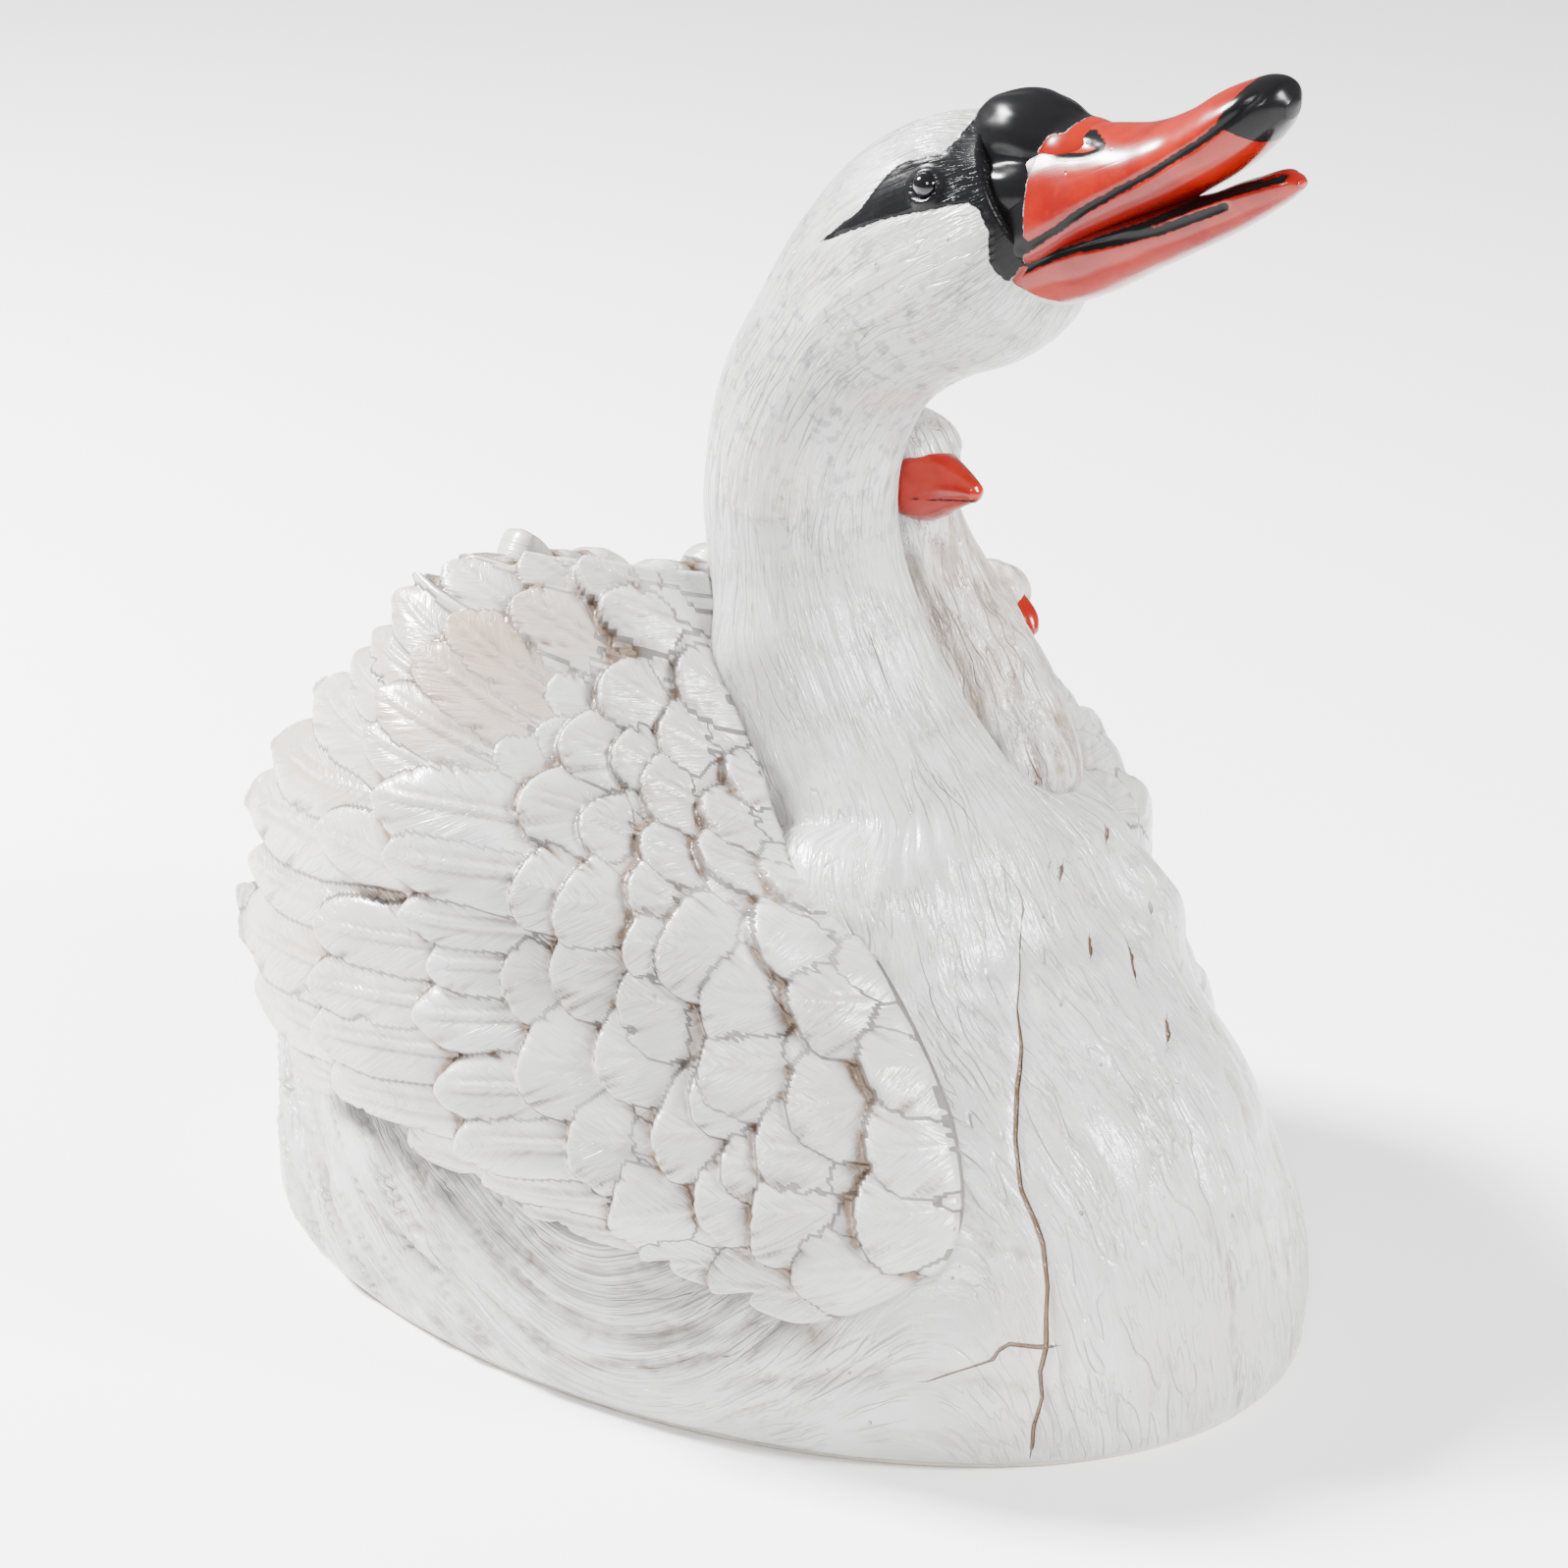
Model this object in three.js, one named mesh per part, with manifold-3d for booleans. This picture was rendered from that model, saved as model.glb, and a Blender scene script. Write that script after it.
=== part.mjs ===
// A cast resin swan decoy: a swan afloat with her neck raised and bill open, her wings half lifted,
// and two cygnets riding between them. The whole group is one casting on a flat underside.
// Millimetres, +X towards the bill, +Y the swan's left, +Z up, origin at the centre of the underside.
import * as THREE from 'three';
import Module from 'manifold-3d';
import { mergeVertices } from 'three/addons/utils/BufferGeometryUtils.js';

const wasm = await Module();
wasm.setup();

const v3 = (x, y, z) => new THREE.Vector3(x, y, z);
const rad = THREE.MathUtils.degToRad;
const { lerp, clamp } = THREE.MathUtils;

// Driving dimensions
const baseLength = 240;        // flat underside, breast to tail
const baseWidth = 156;
const hullSides = 28;
const neckRadius = 18.5;       // slimmest part of the neck
const neckBaseX = 34;          // where the neck leaves the back
const neckBaseZ = 106;
const eyeRadius = 2.6;
const wingThickness = 9;       // at the shoulder
const rimThickness = 4.5;      // along the feather tips
const feathersInRow = 10;      // from flank to rim, in every row of a wing
const scaleRows = 5;           // rows of short rounded feathers from the shoulder back
const firstScales = 0.09;      // where the rows end, as shares of the wing's length
const lastScales = 0.4;
const covertsEnd = 0.66;
const scaleThickness = 2.2;
const quillThickness = 2.4;    // long feathers along the tips
const rearFeathers = 5;        // standing between the wing tips
const rumpHeight = 104;        // back of the swan, the floor of the nest
const leftRimDrop = 17;        // the left wing is carried a little lower than the right
const slack = 0.35;            // how far the skin may move where small faces are cleared away
const halfWidth = baseWidth / 2;

// Closed solid through a row of rings with equally many points, an even number. Strips from one side
// of the ring to the other close each end
function loft(rings) {
  const n = rings[0].length;
  const positions = rings.flat().flatMap((p) => [p.x, p.y, p.z]);
  const indices = [];
  for (let i = 0; i + 1 < rings.length; i++) {
    for (let j = 0; j < n; j++) {
      const a = i * n + j;
      const b = i * n + (j + 1) % n;
      indices.push(a, b, b + n, a, b + n, a + n);
    }
  }
  const close = (start, flip) => {
    for (let j = 0; j + 1 < n / 2; j++) {
      const a = start + j;
      const d = start + n - 1 - j;
      if (flip) indices.push(a, d - 1, a + 1, a, d, d - 1);
      else indices.push(a, a + 1, d - 1, a, d - 1, d);
    }
  };
  close(0, true);
  close((rings.length - 1) * n, false);
  const geometry = new THREE.BufferGeometry();
  geometry.setAttribute('position', new THREE.Float32BufferAttribute(positions, 3));
  geometry.setIndex(indices);
  return geometry;
}

// Solid of a closed geometry, its faces turned outwards
function solid(geometry) {
  const bare = geometry.clone();
  bare.deleteAttribute('normal');
  bare.deleteAttribute('uv');
  const merged = mergeVertices(bare, 1e-3);
  const at = merged.attributes.position;
  const triVerts = new Uint32Array(merged.index.array);
  const [a, b, c] = [v3(0, 0, 0), v3(0, 0, 0), v3(0, 0, 0)];
  let volume = 0;
  for (let i = 0; i < triVerts.length; i += 3) {
    a.fromBufferAttribute(at, triVerts[i]);
    b.fromBufferAttribute(at, triVerts[i + 1]);
    c.fromBufferAttribute(at, triVerts[i + 2]);
    volume += a.dot(b.cross(c)) / 6;
  }
  if (volume < 0) {
    for (let i = 0; i < triVerts.length; i += 3) {
      [triVerts[i + 1], triVerts[i + 2]] = [triVerts[i + 2], triVerts[i + 1]];
    }
  }
  return new wasm.Manifold(new wasm.Mesh({ numProp: 3, vertProperties: at.array, triVerts }));
}

// Ball with three half sizes, turned about the upright
function egg(centre, halves, yaw = 0, across = 14, up = 10) {
  const geometry = new THREE.SphereGeometry(1, across, up);
  geometry.rotateX(Math.PI / 2).scale(...halves).rotateZ(rad(yaw)).translate(...centre.toArray());
  return solid(geometry);
}

// Tapering limb along a smooth line: each stop is [x, y, z, half width, half depth]
function limb(stops, steps, sides) {
  const line = new THREE.CatmullRomCurve3(stops.map(([x, y, z]) => v3(x, y, z)));
  const rings = [];
  for (let i = 0; i <= steps; i++) {
    const t = i / steps;
    const at = t * (stops.length - 1);
    const k = Math.min(Math.floor(at), stops.length - 2);
    const width = lerp(stops[k][3], stops[k + 1][3], at - k);
    const depth = lerp(stops[k][4] ?? stops[k][3], stops[k + 1][4] ?? stops[k + 1][3], at - k);
    const along = line.getTangent(t);
    const side = v3(0, 0, 1).cross(along).normalize();
    const over = along.clone().cross(side);
    const centre = line.getPoint(t);
    rings.push(Array.from({ length: sides }, (_, j) => {
      const turn = (2 * Math.PI * j) / sides;
      return centre.clone().addScaledVector(side, width * Math.cos(turn))
        .addScaledVector(over, depth * Math.sin(turn));
    }));
  }
  return solid(loft(rings));
}

// Oval ring across the swan's middle plane. Pitch is how far its plane leans back from upright,
// depth the half size from nape to throat, width the half size across
function oval(x, z, pitch, depth, width, sides) {
  const forward = v3(Math.sin(rad(pitch)), 0, -Math.cos(rad(pitch)));
  return Array.from({ length: sides }, (_, j) => {
    const turn = (2 * Math.PI * j) / sides;
    return v3(x, width * Math.sin(turn), z).addScaledVector(forward, depth * Math.cos(turn));
  });
}

// Body, neck and skull: level slices of the hull, then rings up the neck and along the skull
function bodyAndNeck() {
  const front = baseLength / 2;
  const slices = [
    // height, breast end, tail end, half width
    [0, front, -front, halfWidth + 1],
    [4, front + 3, -front + 1, halfWidth + 4],
    [22, front + 2, -front + 1, halfWidth + 4],
    [42, front - 4, -front + 1, halfWidth - 4],
    [58, front - 12, -front + 4, halfWidth - 8],
    [72, front - 25, -front + 18, halfWidth - 18],
    [84, front - 38, -front + 44, halfWidth - 25],
    [94, front - 48, -front + 88, halfWidth - 35],
  ];
  const hull = slices.map(([z, breast, tail, width]) =>
    oval((breast + tail) / 2, z, 90, (breast - tail) / 2, width, hullSides));
  const stations = [
    // x and z of the middle, pitch, half depth, half width
    [neckBaseX, neckBaseZ, 112, 23.5, 23],
    [27, 117, 119, 20.5, 20.5],
    [20, 130, 118, 19, 19],
    [13.6, 143, 112, neckRadius, neckRadius],
    [9.2, 157, 98, neckRadius + 1, neckRadius],
    [9.2, 170, 86, neckRadius + 1, neckRadius],
    [12.4, 183.5, 76, 19.8, 18.5],
    [20.5, 197.5, 64, 19.8, 18.8],
    [31.5, 210.3, 52, 22.4, 19.6],
    [44.5, 220.6, 43, 25, 19.8],
    [57, 228.4, 38, 23.2, 18.4],
    [67, 235.2, 36, 17.2, 15],
  ];
  const rings = stations.map(([x, z, pitch, depth, width]) => oval(x, z, pitch, depth, width, hullSides));
  return solid(loft([...hull, ...rings]));
}

// Rounded back between the wings, running down into the short tail below their tips
function backAndTail() {
  return limb([
    [-6, 3, rumpHeight - 22, 0.5 * halfWidth, 18],
    [-34, 3, rumpHeight - 24, 0.57 * halfWidth, 24],
    [-60, 2, rumpHeight - 27, 0.57 * halfWidth, 26],
    [-84, 1, rumpHeight - 36, 0.46 * halfWidth, 22],
    [-104, 0, 61, 0.35 * halfWidth, 14],
    [-120, 0, 58, 0.22 * halfWidth, 7],
    [-130, 0, 57.5, 0.1 * halfWidth, 2.5],
  ], 9, 16);
}

// Shoulder that fills the hollow between the neck and the left wing
function leftShoulder() {
  return limb([
    [16, 0.33 * halfWidth, 104, 14, 14],
    [40, 0.38 * halfWidth, 97, 13, 12],
    [58, 0.385 * halfWidth, 86, 12, 12],
    [70, 0.435 * halfWidth, 72, 10, 10],
    [76, 0.51 * halfWidth, 56, 8, 8],
  ], 6, 12);
}

// Bill: each stop along it is [x, ridge z, edge z, keel z, half width] in the swan's middle plane
function billHalf(stops, sides) {
  return solid(loft(stops.map(([x, ridge, edge, keel, width]) => Array.from({ length: sides }, (_, j) => {
    const turn = (2 * Math.PI * j) / sides;
    const rise = Math.sin(turn) > 0 ? ridge - edge : edge - keel;
    return v3(x, width * Math.cos(turn), edge + rise * Math.sin(turn));
  }))));
}

function head() {
  const upper = billHalf([
    [62, 247, 229, 219, 15],
    [72, 249.5, 229, 222, 14.6],
    [81, 250.8, 235, 229, 13.2],
    [90, 252.5, 241, 234.5, 11.8],
    [99, 256.3, 246.6, 239.5, 10.8],
    [108, 262, 253.5, 245.2, 10],
    [114.5, 264.6, 259, 250.4, 8.6],
    [118.6, 264.4, 260.6, 255, 6],
    [120.8, 261.6, 260.2, 258, 2.4],
  ], 14);
  const lower = billHalf([
    [60, 226, 219, 207, 13.5],
    [71, 228.5, 224.5, 214, 12.6],
    [82, 233, 229.8, 219, 10.8],
    [93, 237.4, 234.6, 225.6, 9],
    [104, 242, 239.6, 232, 7.4],
    [114, 246.6, 244.2, 238.2, 6],
    [120.5, 249, 247, 243, 4.2],
    [123.4, 247.6, 247, 245.8, 1.6],
  ], 12);
  const knob = egg(v3(66.6, 0, 245.6), [12.8, 9.5, 8.9]);
  const parts = [upper, lower, knob];
  for (const side of [-1, 1]) {
    parts.push(egg(v3(51.4, side * 15.4, 237), [eyeRadius + 0.6, eyeRadius, eyeRadius], 0, 8, 6));
  }
  return wasm.Manifold.union(parts);
}

// The right wing is a cambered sheet between its front edge, which runs from the flank round the
// shoulder and up behind the neck, and the line of its feather tips. Each row is one line of the fan:
// front point, tip point, how far the middle swells outwards, how far it arches up, and how much
// further forward the left wing's line starts. Places across are shares of her half width
const fan = [
  [v3(68, -0.859 * halfWidth, 28), v3(-78, -0.80 * halfWidth, 37), 13, 9, -8],
  [v3(89, -0.641 * halfWidth, 45), v3(-80, -0.85 * halfWidth, 62), 28, 3, -17],
  [v3(85, -0.551 * halfWidth, 62), v3(-81, -0.85 * halfWidth, 83), 29, 0, -17],
  [v3(71, -0.487 * halfWidth, 80), v3(-79, -0.79 * halfWidth, 102), 30, 0, -8],
  [v3(54, -0.449 * halfWidth, 96), v3(-67, -0.73 * halfWidth, 121), 32, 0, 8],
  [v3(31, -0.385 * halfWidth, 107), v3(-57, -0.69 * halfWidth, 134), 27, 3, 16],
  [v3(17, -0.3 * halfWidth, 122), v3(-48, -0.68 * halfWidth, 147), 16, 2, 7],
  [v3(-3, -0.19 * halfWidth, 150), v3(-36, -0.56 * halfWidth, 155), 4, 1, 2],
];
const frontCamber = 0.55;      // below 1 the sheet rounds quickly away from its front edge
const tipCamber = 1;           // and runs out flat to the tips
const fronts = new THREE.CatmullRomCurve3(fan.map((line) => line[0]));
const tips = new THREE.CatmullRomCurve3(fan.map((line) => line[1]));
const swells = new THREE.CatmullRomCurve3(fan.map((line) => v3(line[4], line[2], line[3])));
let left = 0;                  // 1 while the left wing is made, as a mirrored right wing

// Point of the right wing: s from front edge to tips, t from flank to rim, lifted off the outer face
function wingPoint(s, t, lift = 0) {
  const flat = (u, w) => {
    const row = clamp(w, 0, 1);
    const camber = Math.max(4 * u * (1 - u), 0) ** lerp(frontCamber, tipCamber, u);
    const swell = swells.getPoint(row);
    const lead = left * swell.x * (1 - u);
    const drop = left * leftRimDrop * row ** 3;
    return fronts.getPoint(row).lerp(tips.getPoint(row), u)
      .add(v3(lead, -swell.y * camber, swell.z * camber - drop));
  };
  const step = 0.02;
  const along = flat(Math.min(s + step, 0.99), t).sub(flat(Math.max(s - step, 0), t));
  const up = flat(s, Math.min(t + step, 1)).sub(flat(s, Math.max(t - step, 0)));
  const out = up.cross(along).normalize();
  if (out.y > 0) out.negate();
  return flat(s, t).addScaledVector(out, lift);
}

// Lines along one feather of a row: share across it, height in thicknesses, how far the line reaches.
// Each feather is highest along its lower side and tucks under the next one above it
const featherLines = [
  [0, 0.5, 0.88],
  [0.42, 1, 1],
  [0.94, 0, 0.88],
];

// All lines of a row, as t across the wing, height and the s where each one ends
function linesOf({ start, tip, shift = 0 }) {
  const lines = [];
  for (let i = 0; i < feathersInRow; i++) {
    for (const [share, height, reach] of featherLines) {
      const t = lerp(0.01, 0.99, (i + share + shift) / (feathersInRow + 0.5));
      const uneven = 0.012 * Math.sin(2.4 * i + 9 * tip);
      lines.push({ t, height, end: start + (tip - start) * reach + uneven });
    }
  }
  return lines;
}

// Where a row's scalloped edge lies at t
function edgeAt(row, t) {
  const lines = linesOf(row);
  const k = clamp(lines.findIndex((line) => line.t > t), 1, lines.length - 1);
  const [a, b] = [lines[k - 1], lines[k]];
  return lerp(a.end, b.end, clamp((t - a.t) / (b.t - a.t), 0, 1));
}

// One wing: feather rows from shoulder to tips on a plain inner face. Each row rises to its free edge
// and steps down on to the next
function wing(onLeft) {
  left = onLeft ? 1 : 0;
  const rows = [];
  for (let row = 0; row < scaleRows; row++) {
    const tip = lerp(firstScales, lastScales, row / (scaleRows - 1));
    const shift = row % 2 ? 0.5 : 0.1;
    rows.push({ start: tip - 0.07, tip, thick: scaleThickness, shift, steps: [0, 0.6, 1] });
  }
  rows.push({ start: lastScales, tip: covertsEnd, thick: quillThickness, shift: 0.5, steps: [0, 0.35, 0.8, 1] });
  rows.push({ start: covertsEnd, tip: 1, thick: quillThickness, shift: 0.1, steps: [0, 0.35, 0.8, 1] });
  const rings = [];
  rows.forEach((row, k) => {
    for (const u of row.steps) {
      const outer = [];
      const inner = [];
      for (const { t, height, end } of linesOf(row)) {
        const begin = k ? edgeAt(rows[k - 1], t) + 0.003 : 0.02;
        const s = lerp(begin, end, u);
        const rise = 0.25 + 0.9 * u - 0.35 * u ** 6;
        const depth = lerp(wingThickness, rimThickness, Math.max(s, t) ** 2);
        outer.push(wingPoint(s, t, row.thick * rise * (0.25 + height)));
        inner.unshift(wingPoint(s, t).add(v3(0, depth, 0)));
      }
      rings.push([...outer, ...inner]);
    }
  });
  const form = solid(loft(rings));
  return onLeft ? form.mirror([0, 1, 0]) : form;
}

// Feathers standing between the wing tips, which close the nest at the back
function rearScreen() {
  const [right, leftmost] = [-0.49 * halfWidth, 0.59 * halfWidth];
  const foot = 74;
  const peak = 140;
  const shoulders = 129;         // height of the outermost feathers
  const lines = [
    // share across one feather, height in thicknesses, reach
    [0, 0.5, 0.92],
    [0.22, 0.9, 0.985],
    [0.48, 1, 1],
    [0.74, 0.6, 0.985],
    [0.95, 0, 0.92],
  ];
  const sheet = (s, y, lift) => {
    const top = lerp(peak, shoulders, Math.min(Math.abs(y) / 30, 1) ** 0.8);
    return v3(-50 - 18 * Math.sqrt(s) + 8 * (y / 30) ** 2 - lift, y, lerp(foot, top, s));
  };
  const rings = [0, 0.4, 0.85, 1].map((u) => {
    const outer = [];
    const inner = [];
    for (let i = 0; i < rearFeathers; i++) {
      for (const [share, height, reach] of lines) {
        const y = lerp(right, leftmost, (i + share) / rearFeathers);
        outer.push(sheet(u * reach, y, quillThickness * height));
        inner.unshift(sheet(u * reach, y, -rimThickness * (1 - 0.5 * u)));
      }
    }
    return [...outer, ...inner];
  });
  return solid(loft(rings));
}

// Cygnets: one sits left of the neck and looks forward, the other lies behind the neck, its own neck
// stretched up at the left to look across the first one's back
function cygnets() {
  return wasm.Manifold.union([
    egg(v3(15, 39, 104), [27, 20, 24], 10),
    limb([
      [20, 38, 112, 18], [23, 33, 128, 13.5], [20.5, 25.5, 146, 10], [19.5, 21.5, 160, 8.6], [20, 21, 169, 7],
    ], 6, 12),
    egg(v3(20.5, 21, 170), [10, 8.5, 9.6]),
    limb([
      [18, 20.5, 166, 8, 7.6], [27, 18.5, 166.6, 7.6, 7.2], [35, 16.8, 168, 5, 4.6], [40.5, 15.8, 168.6, 2.2],
    ], 4, 10),
    egg(v3(-4, 12, 112), [24, 30, 27]),
    limb([[6, 36, 112, 15], [16, 43, 122, 9.5], [22, 46, 133, 6.4]], 4, 10),
    egg(v3(21.5, 45, 133.8), [8, 8, 7.8], 0, 12, 8),
    limb([[24, 44, 131.6, 5], [28.4, 41, 128.8, 3.8], [31.4, 39, 127, 1.4]], 3, 8),
  ]);
}

const joined = wasm.Manifold.union([
  bodyAndNeck(), leftShoulder(), backAndTail(), head(), wing(false), wing(true), rearScreen(), cygnets(),
]);
// Surface of a solid
function surface(form) {
  const out = form.getMesh();
  const geometry = new THREE.BufferGeometry();
  geometry.setAttribute('position', new THREE.BufferAttribute(out.vertProperties, 3));
  return geometry.setIndex(new THREE.BufferAttribute(out.triVerts, 1));
}

// The casting is solid: only its outer skin is kept where overlapping forms shut in a hollow
const skin = (form) => form.decompose().reduce((a, b) => (b.volume() > a.volume() ? b : a));

// Whether two folds of a skin touch along an edge
function pinched(geometry) {
  const at = geometry.attributes.position;
  const corners = geometry.index.array;
  const key = (k) => [at.getX(k), at.getY(k), at.getZ(k)].map((c) => c.toFixed(3)).join();
  const used = new Map();
  corners.forEach((a, i) => {
    const b = corners[i % 3 === 2 ? i - 2 : i + 1];
    const edge = [key(a), key(b)].sort().join();
    used.set(edge, (used.get(edge) ?? 0) + 1);
  });
  return [...used.values()].some((times) => times > 2);
}

// Small faces are cleared away with a little more or less slack where the skin would pinch
const tries = [1, 1.1, 1.2, 0.9, 0.8, 0.7, 0.5];
let whole;
for (const share of tries) {
  whole = skin(solid(surface(skin(joined).simplify(slack * share))));
  if (!pinched(surface(whole))) break;
}

const group = new THREE.Group();
const paint = new THREE.MeshStandardMaterial({ color: 0xf2f0ea, roughness: 0.4 });
const mesh = new THREE.Mesh(surface(whole), paint);
mesh.name = 'swan';
group.add(mesh);
export default group;
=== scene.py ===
# Cast resin swan with her cygnets, painted pearly white, red and black.
# Sizes are in millimetres until a skin is made, +X towards the bill, +Y the swan's left, +Z up.
import math
from functools import partial
import bpy
import numpy as np
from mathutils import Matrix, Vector


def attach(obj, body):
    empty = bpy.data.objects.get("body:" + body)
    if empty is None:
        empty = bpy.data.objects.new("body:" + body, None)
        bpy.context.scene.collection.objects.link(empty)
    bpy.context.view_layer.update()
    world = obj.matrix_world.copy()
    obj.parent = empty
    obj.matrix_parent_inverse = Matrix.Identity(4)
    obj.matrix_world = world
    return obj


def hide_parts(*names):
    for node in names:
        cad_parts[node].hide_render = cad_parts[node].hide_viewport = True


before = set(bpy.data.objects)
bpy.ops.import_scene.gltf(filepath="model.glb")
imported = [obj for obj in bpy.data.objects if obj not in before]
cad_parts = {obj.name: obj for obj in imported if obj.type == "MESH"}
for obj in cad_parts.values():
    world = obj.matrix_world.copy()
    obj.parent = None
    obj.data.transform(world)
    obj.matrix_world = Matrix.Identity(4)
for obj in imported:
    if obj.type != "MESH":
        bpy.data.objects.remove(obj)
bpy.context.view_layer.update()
bpy.ops.object.select_all(action="DESELECT")

# Body, neck and head
# One skin, modelled by hand and cast: a full oval body, flat below, that rises into the neck and head.
# Its down is combed in fine strokes. It is painted white, with a black face and grey-brown wash with painted
# shade in the hollows.
body_slices = [
    # height, breast end, tail end, half width
    [0, 120, -120, 79],
    [4, 123, -119, 82],
    [22, 122, -119, 82],
    [42, 116, -119, 74],
    [58, 108, -116, 70],
    [72, 95, -102, 60],
    [84, 82, -76, 53],
    [94, 72, -32, 43],
]
neck_stations = [
    # x and z of the middle, pitch, half depth, half width
    [34, 106, 112, 23.5, 23],
    [27, 117, 119, 20.5, 20.5],
    [20, 130, 118, 19, 19],
    [13.6, 143, 112, 18.5, 18.5],
    [9.2, 157, 98, 19.5, 18.5],
    [9.2, 170, 86, 19.5, 18.5],
    [12.4, 183.5, 76, 19.8, 18.5],
    [20.5, 197.5, 64, 19.8, 18.8],
    [31.5, 210.3, 52, 22.4, 19.6],
    [44.5, 220.6, 43, 25, 19.8],
    [57, 228.4, 38, 23.2, 18.4],
    [67, 235.2, 36, 17.2, 15],
]
body_stops = [[(a + b) / 2, z, 90, (a - b) / 2, w] for z, a, b, w in body_slices] + neck_stations
body_columns, body_rows = 340, 288
# shares of the rows that close the skin below and inside the bill's root
underside_share, root_share = 0.03, 0.02
eye_middle = (51.6, 17.2, 237.5)
# outlines of the paint in the side view, as x and z: where the black ends and the red begins, and both areas
bill_root = [
    (76.5, 252.5), (75.9, 249.4), (73, 248.6), (71.5, 245.5), (71.4, 241), (72, 235.8), (73, 229.3),
    (71.6, 225.2),
]
mask_outline = [
    (26.6, 222.2), (36.9, 230.5), (40.5, 236.5), (43.5, 239.8), (48.5, 241.2), (53, 242.6), (54.2, 245.5),
    (53.2, 249), (58, 256), (70, 259), *bill_root, (69.2, 221.6), (67.4, 223.5), (66.4, 225.4), (66, 231.2),
    (63.7, 235), (61, 235.9), (52.5, 233.2), (44.9, 230.6), (36.3, 226.7),
]
bill_outline = [
    *bill_root, (69.6, 222), (73.2, 218.6), (79, 216.6), (90, 215), (135, 235), (135, 275), (95, 265),
]
# lines on the body's skin, as x, y and z: the crack down the breast with its branch, short open slits
# in the left of the breast, and the swells where the shoulders carry the wings
crack_line = [
    (31.9, -7.8, 144.2), (36.7, -8.5, 135.4), (40.5, -8.7, 130), (46.2, -9, 122.5), (51.1, -9.5, 117),
    (55.6, -8.1, 112.6), (61, -8.3, 106), (66.5, -6, 98), (68.5, -6, 95), (74.5, -13, 87),
    (78, -18.5, 81), (82.7, -23, 75.5), (86, -28.3, 69.5), (89.2, -33, 62), (93.2, -36.3, 54),
    (96.8, -36.2, 48), (99, -36.5, 44), (101.3, -38, 36.5), (102.2, -39.7, 31), (103.2, -41, 26),
    (103.4, -42.8, 21.5), (104, -42.6, 16), (103, -44, 10), (103.4, -44.5, 5),
]
crack_branch = [
    (103.2, -41, 26), (98.2, -45.9, 27), (97, -48, 25.7), (97, -48.7, 24.3), (93, -53, 22.3), (88, -56.6, 20),
]
breast_slits = [
    # top and foot
    [(66.1, 10.4, 99), (69.1, 6.9, 96.6)], [(61, 25.6, 97.1), (63.2, 24.1, 94.6)],
    [(76.9, 7.3, 88), (80.1, 3, 85.4)], [(76.8, 18.5, 83.8), (86, 10.4, 78.7)],
    [(72.7, 27.9, 84.8), (74.2, 27, 82)], [(88.7, 22, 70.8), (91, 20.5, 67)],
    [(91.5, 13.2, 73), (96, 6.2, 69.7)], [(90.6, 28.3, 65.4), (93, 26.3, 64)],
    [(66, 5.8, 100.4), (68, 4.6, 98.4)],
]
left_shoulder = [(18, 27, 112), (40, 30, 104), (58, 32, 94), (68, 36, 80)]
right_shoulder = [(10, -17, 134), (15, -20, 120), (21, -23, 108), (34, -28, 104), (50, -32, 97)]

# what the paint does at each point of a skin, and its value where nothing happens: black and red are
# distances inside an edge, crack and branch distances beside a line, and the others shares
# the note for the hollows holds brown wash together with painted shade
note_names = dict(
    black=-9, red=-9, crack=9, crack_near=0, branch=9, branch_near=0,
    wash=0, cream=0, pink=0, mottle=0, tan=0, mouth=0)

aged_white = (0.41, 0.406, 0.40, 1)
clean_white = (0.50, 0.50, 0.498, 1)
dusty_white = (0.40, 0.365, 0.325, 1)
groove_dirt_and_shade_brown = (0.17, 0.13, 0.095, 1)
feather_tan = (0.37, 0.275, 0.205, 1)
mottle_grey = (0.18, 0.187, 0.195, 1)
pit_brown = (0.30, 0.25, 0.2, 1)
wash_brown = (0.135, 0.08, 0.044, 1)
bare_cream = (0.57, 0.52, 0.41, 1)
throat_pink = (0.58, 0.38, 0.34, 1)
deep_red = (0.17, 0.003, 0.0015, 1)
bright_red = (0.25, 0.009, 0.003, 1)
thin_red = (0.28, 0.014, 0.004, 1)
mouth_red = (0.13, 0.006, 0.005, 1)
mask_black = (0.006, 0.006, 0.0065, 1)
broken_brown = (0.11, 0.055, 0.022, 1)
# the strokes of the cygnets' down lean back by this angle in radians, in their form and in their paint
down_lean = 0.44


def grid(rows, columns, start=0, end=1):
    """Shares along the rows, from start to end, and across the columns, from 0 to 1."""
    return np.meshgrid(np.linspace(start, end, rows), np.linspace(0, 1, columns), indexing="ij")


def through(stops, at):
    """Smooth line through rows of numbers, from the first at 0 to the last at 1."""
    p = np.asarray(stops, float)
    p = np.vstack([2 * p[0] - p[1], p, 2 * p[-1] - p[-2]])
    gap = np.maximum(np.linalg.norm(np.diff(p, axis=0), axis=1), 1e-4) ** 0.5
    x = np.clip(at, 0, 1) * (len(p) - 3)
    k = np.minimum(np.floor(x).astype(int), len(p) - 4)
    f = (x - k)[..., None]
    a, b, c, d = p[k], p[k + 1], p[k + 2], p[k + 3]
    g0, g1, g2 = gap[k][..., None], gap[k + 1][..., None], gap[k + 2][..., None]
    start = ((b - a) / g0 - (c - a) / (g0 + g1) + (c - b) / g1) * g1
    end = ((c - b) / g1 - (d - b) / (g1 + g2) + (d - c) / g2) * g1
    return b + start * f + (3 * (c - b) - 2 * start - end) * f * f + (2 * (b - c) + start + end) * f ** 3


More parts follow.
